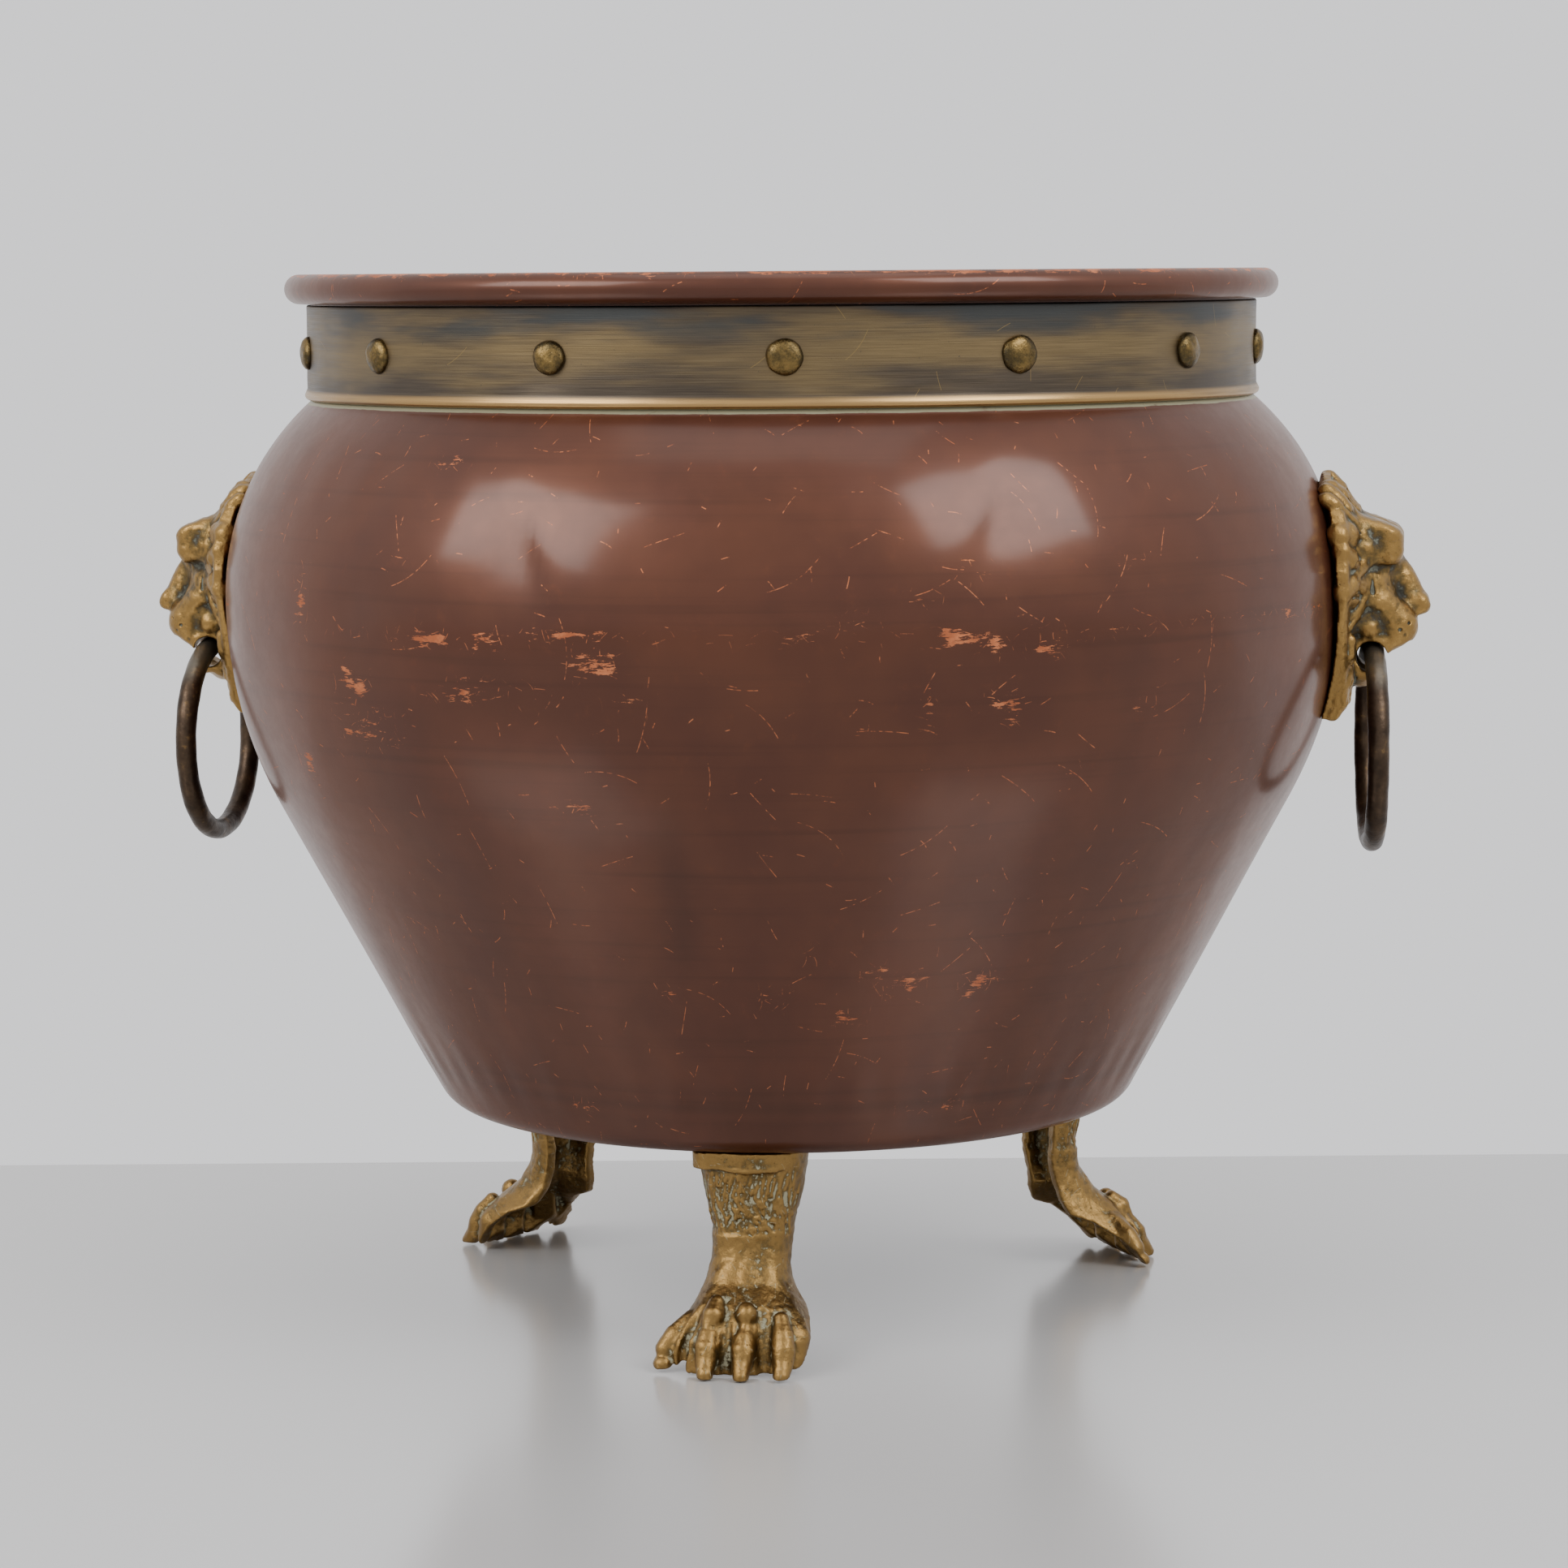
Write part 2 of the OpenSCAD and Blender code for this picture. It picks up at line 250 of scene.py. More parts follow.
def revolve(section, segments):
    """Points and quads of a half section [r, z] turned about the pot's axis, and each point's angle."""
    turn = np.linspace(-1.5 * math.pi, 0.5 * math.pi, segments, endpoint=False)
    rows = len(section)
    r, z = section[:, 0][:, None], section[:, 1][:, None]
    points = np.stack([r * np.cos(turn), r * np.sin(turn), z + 0 * turn], axis=2).reshape(-1, 3)
    return points, wrapped_quads(rows, segments), np.tile(turn, rows)


# ---------------------------------------------------------------- pot

def outline(depth, spacing):
    """Half outline from the middle of the base up to the neck's top, depth inside the surface."""
    def steps(r, a0, a1):
        return max(4, int(abs(math.radians(a1 - a0)) * r / spacing))
    tilt = math.degrees(cone_tilt)
    neck_turn = math.degrees(math.acos((neck_r - depth - shoulder_x) / (shoulder_arc - depth)))
    base = np.stack([np.linspace(2.0, edge_x, 8), np.full(8, base_z + depth)], axis=1)[:-1]
    edge = arc(edge_x, edge_z, edge_r - depth, -90, -tilt, 10)
    belly = arc(belly_x, belly_z, belly_arc - depth, -tilt, 0, steps(belly_arc, 0, tilt))
    cone_rows = int(math.hypot(*(belly[0] - edge[-1])) / spacing)
    cone = np.linspace(edge[-1], belly[0], cone_rows + 1)[1:-1]
    shoulder_steps = steps(shoulder_arc, 0, neck_turn)
    shoulder = arc(shoulder_x, belly_z, shoulder_arc - depth, 0, neck_turn, shoulder_steps)[1:]
    neck = np.linspace(shoulder[-1], (neck_r - depth, roll_z - 1.0), 8)[1:]
    return np.concatenate([base, edge, cone, belly, shoulder, neck])


def make_pot(material):
    outer = outline(0.0, 2.6)
    over = arc(roll_x, roll_z, roll_r - wall, 180, -125, 22)
    back = arc(roll_x, roll_z, roll_r, -125, 180, 26)
    inner = outline(wall, 4.0)[::-1]
    section = np.concatenate([outer, over, back, inner])
    rows, segments = len(section), 400
    points, quads, turn = revolve(section, segments)
    z = points[:, 2]
    r = np.hypot(points[:, 0], points[:, 1])
    push = dents(turn, z)
    keep = np.clip((band_z0 - 2.0 - z) / 12.0, 0, 1) * np.clip((z - base_z - 4.0) / 8.0, 0, 1)
    scale = (r + push * keep) / np.maximum(r, 1e-6)
    points[:, :2] *= scale[:, None]
    # Close the middle of the base, outside and inside, with a fan each
    low = len(points)
    points = np.concatenate([points, [[0, 0, base_z], [0, 0, base_z + wall]]])
    quads = quads.reshape(rows, segments, 4)[:-1].reshape(-1, 4)
    j = np.arange(segments)
    side = (j + 1) % segments
    top_row = (rows - 1) * segments
    fans = [(int(low), int(b), int(a)) for a, b in zip(j, side)]
    fans += [(int(low + 1), int(top_row + a), int(top_row + b)) for a, b in zip(j, side)]
    pot = mesh_object("copper_pot", points, [tuple(q) for q in quads.tolist()] + fans, material)
    length = np.concatenate([[0], np.cumsum(np.hypot(*np.diff(section, axis=0).T))])
    along = np.stack([turn * surface_r, np.repeat(length, segments)], axis=1)
    add_uv(pot, np.concatenate([along, [[0, 0], [0, 0]]]) * MM)
    return pot


def add_uv(obj, per_vertex):
    """A UV map in metres along the surface; the loops past the seam are carried on to a full turn."""
    mesh = obj.data
    loops = np.empty(len(mesh.loops), dtype=np.int32)
    mesh.loops.foreach_get("vertex_index", loops)
    uv = per_vertex[loops]
    starts = np.empty(len(mesh.polygons), dtype=np.int32)
    totals = np.empty(len(mesh.polygons), dtype=np.int32)
    mesh.polygons.foreach_get("loop_start", starts)
    mesh.polygons.foreach_get("loop_total", totals)
    face = np.repeat(np.arange(len(starts)), totals)
    highest = np.full(len(starts), -1e9)
    np.maximum.at(highest, face, uv[:, 0])
    full = 2 * math.pi * surface_r * MM
    uv[:, 0] += np.where(highest[face] - uv[:, 0] > full / 2, full, 0)
    layer = mesh.uv_layers.new(name="surface")
    layer.data.foreach_set("uv", uv.astype(np.float32).ravel())


def dents(turn, z):
    """How far the copper stands out of its true outline, in millimetres: planishing, flutes and knocks."""
    rng = np.random.default_rng(7)
    out = np.zeros_like(z)
    for _ in range(26):
        waves = rng.integers(2, 26)
        rise = rng.uniform(-0.09, 0.09)
        out += rng.uniform(0.01, 0.05) * np.sin(waves * turn + rise * z + rng.uniform(0, 6.28))
    shoulder = np.exp(-((z - 238) / 12) ** 2)
    out += 0.10 * shoulder * np.sin(46 * turn + 1.3 * np.sin(3 * turn)) * (0.6 + 0.4 * np.sin(5 * turn))
    heel = np.exp(-((z - 74) / 9) ** 2)
    out += 0.12 * heel * np.sin(58 * turn + 1.7 * np.sin(2 * turn))
    # Knocks: angle round the pot in degrees, height, length round and up, lean, depth
    for angle, high, wide, tall, lean, deep in KNOCKS:
        u = (turn - math.radians(angle) + math.pi) % (2 * math.pi) - math.pi
        u = u * surface_r
        v = z - high
        c, s = math.cos(math.radians(lean)), math.sin(math.radians(lean))
        a, b = u * c + v * s, -u * s + v * c
        crease = np.exp(-(b / tall) ** 2)
        out -= deep * crease * np.where(a < 0, np.exp(-(a / wide) ** 2), np.exp(-(a / (0.3 * wide)) ** 2))
    return out


KNOCKS = (
    (-107, 219, 15, 13, 20, 1.3),
    (-61, 227, 14, 12, 155, 1.1),
    (-72, 150, 22, 18, 70, 0.5),
    (-128, 205, 16, 12, 100, 0.5),
    (40, 215, 18, 13, 30, 1.0),
    (118, 170, 20, 16, 200, 0.8),
)


# ---------------------------------------------------------------- neck band, rivets and rings

def make_band(material):
    """The band's strip: flat, with a burnished bead along its lower edge and a few shallow ripples."""
    bead_r = 1.3
    outer = np.concatenate([
        [[neck_r + 0.02, band_z0]],
        arc(band_r - 0.5, band_z0 + bead_r, bead_r, -80, 30, 8),
        np.stack([np.full(40, band_r), np.linspace(band_z0 + 3.2, band_z1 - 0.5, 40)], axis=1),
        [[band_r - 0.25, band_z1], [neck_r + 0.02, band_z1]],
    ])
    back = np.stack([np.full(6, neck_r + 0.02), np.linspace(band_z1 - 3, band_z0 + 3, 6)], axis=1)
    points, quads, turn = revolve(np.concatenate([outer, back]), 480)
    z = points[:, 2]
    r = np.hypot(points[:, 0], points[:, 1])
    middle = np.clip((z - band_z0 - 2) / 4, 0, 1) * np.clip((band_z1 - z) / 3, 0, 1) * (r > band_r - 0.1)
    ripple = 0.10 * np.sin(9 * turn + 0.06 * z) + 0.07 * np.sin(23 * turn - 0.11 * z + 2)
    ripple += 0.05 * np.sin(37 * turn)
    # The sheet dishes slightly round each rivet where the head was hammered down
    for a in rivet_angles():
        u = ((turn - a + math.pi) % (2 * math.pi) - math.pi) * band_r
        ripple -= 0.22 * np.exp(-(u ** 2 + (z - rivet_z) ** 2) / 60.0)
    points[:, :2] *= ((r + ripple * middle) / r)[:, None]
    band = mesh_object("brass_neck_band", points, quads, material)
    rows = len(outer) + len(back)
    height = np.repeat(np.concatenate([outer, back])[:, 1], 480)
    add_uv(band, np.stack([turn * surface_r, height], axis=1)[:rows * 480] * MM)
    return band


rivet_z = (band_z0 + band_z1) / 2
RIVETS = 14
RIVET_TURN = math.radians(8.4)
RIVET_DRIFT = math.radians(2.6)


def rivet_angles():
    even = [i * 2 * math.pi / RIVETS for i in range(RIVETS)]
    return [a - math.pi / 2 + RIVET_TURN + RIVET_DRIFT * math.sin(a) for a in even]


def node_group(name, inputs):
    """A Geometry Nodes tree with named inputs; returns the tree, its inputs by name and its output socket."""
    tree = bpy.data.node_groups.new(name, "GeometryNodeTree")
    for label, kind in inputs:
        tree.interface.new_socket(label, in_out="INPUT", socket_type=kind)
    tree.interface.new_socket("Geometry", in_out="OUTPUT", socket_type="NodeSocketGeometry")
    outputs = tree.nodes.new("NodeGroupInput").outputs
    given = {label: Value(outputs[label]) for label, kind in inputs}
    done = tree.nodes.new("NodeGroupOutput").inputs["Geometry"]
    return tree, given, done


def grown(name, tree, values):
    """The plain mesh that a Geometry Nodes tree makes with these input values."""
    seed = bpy.data.objects.new(name + "_seed", bpy.data.meshes.new(name + "_seed"))
    bpy.context.collection.objects.link(seed)
    modifier = seed.modifiers.new("grow", "NODES")
    modifier.node_group = tree
    keys = {item.name: item.identifier for item in tree.interface.items_tree if item.in_out == "INPUT"}
    for label, value in values.items():
        modifier[keys[label]] = value
    seen = seed.evaluated_get(bpy.context.evaluated_depsgraph_get())
    mesh = bpy.data.meshes.new_from_object(seen)
    seed.modifiers.clear()
    bpy.data.objects.remove(seed)
    mesh.name = name
    made = bpy.data.objects.new(name, mesh)
    bpy.context.collection.objects.link(made)
    return made


def rivet_tree(material):
    """Hand-set dome rivets round the band: heads outside, shanks through, hammered tails inside."""
    tree, given, done = node_group("hand_set_rivets", [
        ("Count", "NodeSocketInt"), ("Band radius", "NodeSocketFloat"), ("Height", "NodeSocketFloat"),
        ("Turn", "NodeSocketFloat"), ("Drift", "NodeSocketFloat"), ("Head radius", "NodeSocketFloat"),
        ("Head height", "NodeSocketFloat"), ("Shank radius", "NodeSocketFloat"),
        ("Tail radius", "NodeSocketFloat"), ("Grip", "NodeSocketFloat"), ("Tail height", "NodeSocketFloat"),
        ("Seed", "NodeSocketInt")])

    def shifted(shape, x):
        at = put(tree, "ShaderNodeCombineXYZ", ins={0: x})
        return put(tree, "GeometryNodeTransform", ins={"Geometry": shape, "Translation": at})

    # A rivet lies along X: x = 0 is the band's face, the head outside it and the shank and tail inside
    lathe = {"Rotation": (0.0, math.pi / 2, 0.0)}
    dome = put(tree, "GeometryNodeMeshUVSphere", ins={"Segments": 40, "Rings": 24, "Radius": 1.0})
    spread = put(tree, "ShaderNodeCombineXYZ", ins={0: given["Head height"], 1: given["Head radius"],
                                                   2: given["Head radius"]})
    dome = put(tree, "GeometryNodeTransform", ins={"Geometry": dome, **lathe})
    dome = put(tree, "GeometryNodeTransform", ins={"Geometry": dome, "Scale": spread})
    # Hammer blows: the head is a little lumpy, and flattened where the set struck it
    lumps = put(tree, "ShaderNodeTexNoise", {"noise_dimensions": "4D"},
                {"Scale": 260.0, "Detail": 1.0, "W": given["Seed"]}, out=0)
    push = (lumps - 0.5) * 0.0009
    normal = put(tree, "GeometryNodeInputNormal")
    offset = put(tree, "ShaderNodeVectorMath", {"operation": "SCALE"}, {0: normal, "Scale": push})
    dome = put(tree, "GeometryNodeSetPosition", ins={"Geometry": dome, "Offset": offset})
    shank = put(tree, "GeometryNodeMeshCylinder", ins={"Vertices": 24, "Radius": given["Shank radius"],
                                                      "Depth": given["Grip"]})
    shank = put(tree, "GeometryNodeTransform", ins={"Geometry": shank, **lathe})
    shank = shifted(shank, given["Grip"] * -0.5)
    tail = put(tree, "GeometryNodeMeshUVSphere", ins={"Segments": 28, "Rings": 14, "Radius": 1.0})
    flat = put(tree, "ShaderNodeCombineXYZ", ins={0: given["Tail height"], 1: given["Tail radius"],
                                                 2: given["Tail radius"]})
    tail = put(tree, "GeometryNodeTransform", ins={"Geometry": tail, **lathe})
    tail = put(tree, "GeometryNodeTransform", ins={"Geometry": tail, "Scale": flat})
    tail = shifted(tail, given["Grip"] * -1.0)
    rivet = tree.nodes.new("GeometryNodeJoinGeometry")
    for part in (dome, shank, tail):
        tree.links.new(part.socket, rivet.inputs[0])
    # One point for each rivet, drifting from even spacing as rivets set out by eye do
    points = put(tree, "GeometryNodePoints", ins={"Count": given["Count"]})
    index = put(tree, "GeometryNodeInputIndex")
    even = index / given["Count"] * (2 * math.pi)
    drift = given["Drift"] * even.maths("SINE", even)
    angle = even + drift + given["Turn"]
    x = given["Band radius"] * angle.maths("COSINE", angle)
    y = given["Band radius"] * angle.maths("SINE", angle)
    place = put(tree, "ShaderNodeCombineXYZ", ins={0: x, 1: y, 2: given["Height"]})
    points = put(tree, "GeometryNodeSetPosition", ins={"Geometry": points, "Position": place})
    wobble = put(tree, "FunctionNodeRandomValue", {"data_type": "FLOAT"},
                 {"Min": -0.05, "Max": 0.05, "Seed": given["Seed"]}, out=1)
    facing = put(tree, "ShaderNodeCombineXYZ", ins={1: wobble, 2: angle})
    turn = put(tree, "FunctionNodeEulerToRotation", ins={"Euler": facing})
    size = put(tree, "FunctionNodeRandomValue", {"data_type": "FLOAT"},
               {"Min": 0.93, "Max": 1.04, "Seed": given["Seed"]}, out=1)
    wide = put(tree, "ShaderNodeCombineXYZ", ins={0: 1.0, 1: size, 2: size})
    row = put(tree, "GeometryNodeInstanceOnPoints",
              ins={"Points": points, "Instance": Value(rivet.outputs[0]), "Rotation": turn, "Scale": wide})
    row = put(tree, "GeometryNodeRealizeInstances", ins={"Geometry": row})
    row = put(tree, "GeometryNodeSetShadeSmooth", ins={"Geometry": row})
    row = put(tree, "GeometryNodeSetMaterial", ins={"Geometry": row, "Material": material})
    tree.links.new(row.socket, done)
    return tree


def make_ring(name, side, material):
    """A bronze wire ring, worn flat where it rubs in the mouth and slightly uneven all round."""
    around, across = 240, 40
    a = np.linspace(0, 2 * math.pi, around, endpoint=False)[:, None]
    b = np.linspace(0, 2 * math.pi, across, endpoint=False)[None, :]
    swell = 0.05 * np.sin(5 * a + side) + 0.04 * np.sin(11 * a + 2 * b) + 0.03 * np.sin(23 * a - b)
    rub = 0.35 * np.exp(-(((a - math.pi / 2 + math.pi) % (2 * math.pi) - math.pi) / 0.13) ** 2)
    wire = ring_wire - 0.06 + swell - rub * np.clip(-np.cos(b), 0, 1)
    reach = ring_r + wire * np.cos(b)
    dx, dy = wire * np.sin(b) * side, reach * np.cos(a) * side
    c, s = math.cos(side * ring_yaw), math.sin(side * ring_yaw)
    x = side * pivot_r + dx * c - dy * s
    y = dx * s + dy * c
    z = ring_z + reach * np.sin(a)
    points = np.stack([np.broadcast_to(x, (around, across)), y, z], axis=2).reshape(-1, 3)
    return mesh_object(name, points, wrapped_quads(around, across)[:, ::-1], material)


# ---------------------------------------------------------------- modelling clay, for the castings

class Clay:
    """A block of voxels holding the distance to a modelled surface in millimetres, negative inside it.

    Rods, balls and cuts are worked into it one by one, as a pattern maker would. fire() then finds the
    finished surface, and cast() makes meshes of it."""
    FAR = 3.0

    def __init__(self, low, high, pitch, mirrored=False):
        self.low, self.pitch, self.mirrored = np.array(low, float), pitch, mirrored
        self.counts = np.ceil((np.array(high, float) - self.low) / pitch).astype(int) + 1
        self.axes = [low[i] + pitch * np.arange(self.counts[i]) for i in range(3)]
        self.field = np.full(self.counts, self.FAR, dtype=np.float32)

    def near(self, low, high):
        """The slices of a box of voxels, and its X, Y and Z ready to broadcast."""
        start = np.clip(np.floor((np.array(low) - self.low) / self.pitch).astype(int), 0, self.counts)
        stop = np.clip(np.ceil((np.array(high) - self.low) / self.pitch).astype(int) + 1, 0, self.counts)
        box = tuple(slice(a, b) for a, b in zip(start, stop))
        x, y, z = (self.axes[i][box[i]] for i in range(3))
        return box, x[:, None, None], y[None, :, None], z[None, None, :]

    def work(self, distance, low, high, blend, cutting=False):
        """Adds a shape to the clay, or cuts it away, with a fillet of about blend."""
        reach = blend + 2.0
        box, x, y, z = self.near(np.array(low) - reach, np.array(high) + reach)
        if min(s.stop - s.start for s in box) <= 0:
            return
        old, new = self.field[box], distance(x, y, z)
        if cutting:
            new = -new
            h = np.maximum(blend - np.abs(old - new), 0) / max(blend, 1e-6)
            self.field[box] = np.maximum(old, new) + h * h * blend / 4
        else:
            h = np.maximum(blend - np.abs(old - new), 0) / max(blend, 1e-6)
            self.field[box] = np.minimum(old, new) - h * h * blend / 4

    def rod(self, points, radii, blend=0.8, cutting=False):
        """A chain of tapering round rods through points, worked in as one shape."""
        points = [np.array(p, float) for p in points]
        radii = list(radii) if hasattr(radii, "__len__") else [radii] * len(points)

        def distance(x, y, z):
            best = None
            for (a, b), (ra, rb) in zip(zip(points, points[1:]), zip(radii, radii[1:])):
                ab = b - a
                t = ((x - a[0]) * ab[0] + (y - a[1]) * ab[1] + (z - a[2]) * ab[2]) / max(ab @ ab, 1e-9)
                t = np.clip(t, 0, 1)
                d = np.sqrt((x - a[0] - t * ab[0]) ** 2 + (y - a[1] - t * ab[1]) ** 2
                            + (z - a[2] - t * ab[2]) ** 2) - (ra + t * (rb - ra))
                best = d if best is None else np.minimum(best, d)
            return best
        most = max(radii)
        self.work(distance, np.min(points, axis=0) - most, np.max(points, axis=0) + most, blend, cutting)

    def ball(self, centre, radii, blend=1.2, cutting=False, tilt=0.0):
        """An ellipsoid, tilted about the Y axis by tilt degrees."""
        radii = np.array(radii if hasattr(radii, "__len__") else [radii] * 3, float)
        c, s = math.cos(math.radians(tilt)), math.sin(math.radians(tilt))

        def distance(x, y, z):
            u = ((x - centre[0]) * c - (z - centre[2]) * s) / radii[0]
            v = (y - centre[1]) / radii[1]
            w = ((x - centre[0]) * s + (z - centre[2]) * c) / radii[2]
            k = np.sqrt(u * u + v * v + w * w)
            g = np.sqrt((u / radii[0]) ** 2 + (v / radii[1]) ** 2 + (w / radii[2]) ** 2)
            return k * (k - 1) / np.maximum(g, 1e-6)
        most = max(radii) if tilt else radii
        self.work(distance, np.array(centre) - most, np.array(centre) + most, blend, cutting)

    def block(self, centre, half, rounding, blend=1.0, cutting=False, tilt=0.0):
        """A rounded box, tilted about the Y axis by tilt degrees."""
        c, s = math.cos(math.radians(tilt)), math.sin(math.radians(tilt))

        def distance(x, y, z):
            u = np.abs((x - centre[0]) * c - (z - centre[2]) * s) - half[0] + rounding
            v = np.abs(y - centre[1]) - half[1] + rounding
            w = np.abs((x - centre[0]) * s + (z - centre[2]) * c) - half[2] + rounding
            out = np.sqrt(np.maximum(u, 0) ** 2 + np.maximum(v, 0) ** 2 + np.maximum(w, 0) ** 2)
            return out + np.minimum(np.maximum(np.maximum(u, v), w), 0) - rounding
        most = np.full(3, max(half) * 1.2)
        self.work(distance, np.array(centre) - most, np.array(centre) + most, blend, cutting)

    def lock(self, curve, radii, strands=3, blend=0.5):
        """A lock of hair: strands side by side along a bent line of three points, tapering to a tip.

        The surface under the lock faces outwards from the pot's axis, so the strands lie side by side
        across the line and across that outward direction."""
        a, b, c = (np.array(p, float) for p in curve)
        steps = np.linspace(0, 1, 7)[:, None]
        line = (1 - steps) ** 2 * a + 2 * steps * (1 - steps) * b + steps ** 2 * c
        along = np.gradient(line, axis=0)
        across = np.cross(along, [1.0, 0.0, 0.0])
        across /= np.maximum(np.linalg.norm(across, axis=1, keepdims=True), 1e-6)
        width = (np.array(radii[0]) + (radii[1] - radii[0]) * steps[:, 0] ** 1.5)
        for k in range(strands):
            side = (k - (strands - 1) / 2) / max(strands / 2, 1)
            path = line + across * (side * 0.85 * width)[:, None]
            path[:, 0] -= 0.45 * width * side * side
            self.rod(path, width * (0.58 if strands > 1 else 1.0), blend)

    def spread(self):
        """Copies the modelled half across to the other side, where the clay is mirrored in Y."""
        if self.mirrored:
            self.field = np.concatenate([self.field[:, :0:-1], self.field], axis=1)
            self.low[1] = -self.axes[1][-1]
            self.counts = np.array(self.field.shape)
            self.axes[1] = self.low[1] + self.pitch * np.arange(self.counts[1])
            self.mirrored = False

    def noise(self, size, seed):
        """Smooth random values from -1 to 1 through the block, with lumps of a size in millimetres."""
        rng = np.random.default_rng(seed)
        mixes = []
        for axis in self.axes:
            at = (axis - axis[0]) / size
            whole = np.floor(at).astype(int)
            part = at - whole
            part = part * part * (3 - 2 * part)
            mix = np.zeros((len(axis), whole[-1] + 2), dtype=np.float32)
            mix[np.arange(len(axis)), whole] = 1 - part
            mix[np.arange(len(axis)), whole + 1] = part
            mixes.append(mix)
        values = rng.uniform(-1, 1, [m.shape[1] for m in mixes]).astype(np.float32)
        for k, mix in enumerate(mixes):
            values = np.moveaxis(np.tensordot(mix, values, axes=(1, k)), 0, k)
        return values

    def soft(self, size):
        """The distances blurred over about size millimetres."""
        out = np.clip(self.field, -self.FAR, self.FAR)
        n = max(1, int(round(size / self.pitch / 2)))
        for _ in range(2):
            for k in range(3):
                padded = np.pad(out, [(n + 1, n) if i == k else (0, 0) for i in range(3)], mode="edge")
                total = np.cumsum(padded, axis=k, dtype=np.float64)
                low = np.take(total, np.arange(out.shape[k]), axis=k)
                high = np.take(total, np.arange(2 * n + 1, out.shape[k] + 2 * n + 1), axis=k)
                out = ((high - low) / (2 * n + 1)).astype(np.float32)
        return out

    def fire(self, fine=1.2, broad=4.0):
        """Finds the clay's surface once, keeps its largest piece, and reads the relief at its points."""
        self.field = np.clip(self.field, -self.FAR, self.FAR)
        grid = openvdb.FloatGrid(self.FAR)
        grid.copyFromArray(np.ascontiguousarray(self.field))
        points, quads = largest_piece(*grid.convertToQuads(0.0))
        at = points.astype(np.float64)
        cell = np.clip(np.floor(at).astype(int), 0, self.counts - 2)
        part = at - cell
        reliefs = {}
        for label, size, gain in (("relief_fine", fine, 0.30), ("relief_broad", broad, 1.0)):
            soft = self.soft(size)
            value = 0
            for corner in np.ndindex(2, 2, 2):
                weight = np.prod(np.where(corner, part, 1 - part), axis=1)
                spot = cell + corner
                value = value + weight * soft[spot[:, 0], spot[:, 1], spot[:, 2]]
            reliefs[label] = np.clip(0.5 + value / gain / 2, 0, 1)
        self.surface = at * self.pitch + self.low, quads, reliefs
        return self

    def cast(self, name, material, turn=0.0):
        """A mesh of the clay's surface, turned about the pot's axis, with two attributes of its relief.

        relief_fine and relief_broad are near 0.5 on even stretches, 1 on ridges and 0 in grooves."""
        points, quads, reliefs = self.surface
        c, s = math.cos(turn), math.sin(turn)
        points = np.stack([points[:, 0] * c - points[:, 1] * s, points[:, 0] * s + points[:, 1] * c,
                           points[:, 2]], axis=1)
        made = mesh_object(name, points, quads.astype(np.int64), material)
        for label, value in reliefs.items():
            set_point_values(made, label, value)
        return made


def largest_piece(points, quads):
    """The largest connected piece of a mesh."""
    label = np.arange(len(points))
    while True:
        lowest = label.copy()
        np.minimum.at(lowest, quads.ravel(), np.repeat(label[quads].min(axis=1), 4))
        lowest = lowest[lowest]
        if np.array_equal(lowest, label):
            break
        label = lowest
    names, sizes = np.unique(label, return_counts=True)
    keep = label == names[sizes.argmax()]
    number = np.cumsum(keep) - 1
    return points[keep], number[quads[keep[quads[:, 0]]]]


def smooth_min(a, b, k):
    h = np.maximum(k - np.abs(a - b), 0) / k
    return np.minimum(a, b) - h * h * k / 4


def smooth_max(a, b, k):
    return -smooth_min(-a, -b, k)


def pot_distance(x, y, z):
    """How far a point is outside the pot's shoulder or belly."""
    r = np.sqrt(x * x + y * y)
    upper = np.sqrt((r - shoulder_x) ** 2 + (z - belly_z) ** 2) - shoulder_arc
    lower = np.sqrt((r - belly_x) ** 2 + (z - belly_z) ** 2) - belly_arc
    return np.where(z > belly_z, upper, lower)


def pot_radius(z):
    if z > belly_z:
        return shoulder_x + math.sqrt(shoulder_arc ** 2 - (z - belly_z) ** 2)
    return belly_x + math.sqrt(belly_arc ** 2 - (belly_z - z) ** 2)


def on_pot(y, z, height):
    """The point at a place (y, z) on a mask, a height in front of the pot's surface."""
    return (math.sqrt((pot_radius(z) + height) ** 2 - y * y), y, z)


# ---------------------------------------------------------------- lion masks

mane_r = 26.2
mane_z = 207.3
jaw_half = 10.4
bore_r = 4.25
mouth_r = 5.3
mouth_half = 7.5

# Heights up the mask, the gap behind its edge, and how far its rim stands out from the pot
MASK_RISE = [166, 175, 185, 195, 207, 220, 230]
MASK_GAP = [0.10, 0.30, 0.80, 1.25, 1.60, 1.90, 2.30]
MASK_RIM = [6.2, 6.3, 5.2, 5.1, 6.0, 7.2, 6.4]


def mask_edge(y, z):
    """Distance past the mask's outline: round at the top, narrowing to a flat lower end."""
    round_top = np.sqrt(y * y + (z - mane_z) ** 2) - mane_r
    half = np.interp(z, [mask_z0, 172, 180, 190, 200, mane_z], [12.4, 13.6, 17.2, 21.8, 25.0, mane_r])
    sides = np.maximum(np.maximum((np.abs(y) - half) * 0.93, z - mane_z), mask_z0 - z)
    return smooth_min(round_top, sides, 1.5)


def mask_plate(x, y, z):
    """The thick slab behind the lion, its edge raised off the pot and its back relieved."""
    out = pot_distance(x, y, z)
    edge = mask_edge(y, z)
    gap = 0.1 + (np.interp(z, MASK_RISE, MASK_GAP) - 0.1) * np.clip(1 + edge / 5.0, 0, 1)
    rim = np.interp(z, MASK_RISE, MASK_RIM) - 1.5
    return np.maximum(smooth_max(out - rim, edge, 1.4), gap - out)


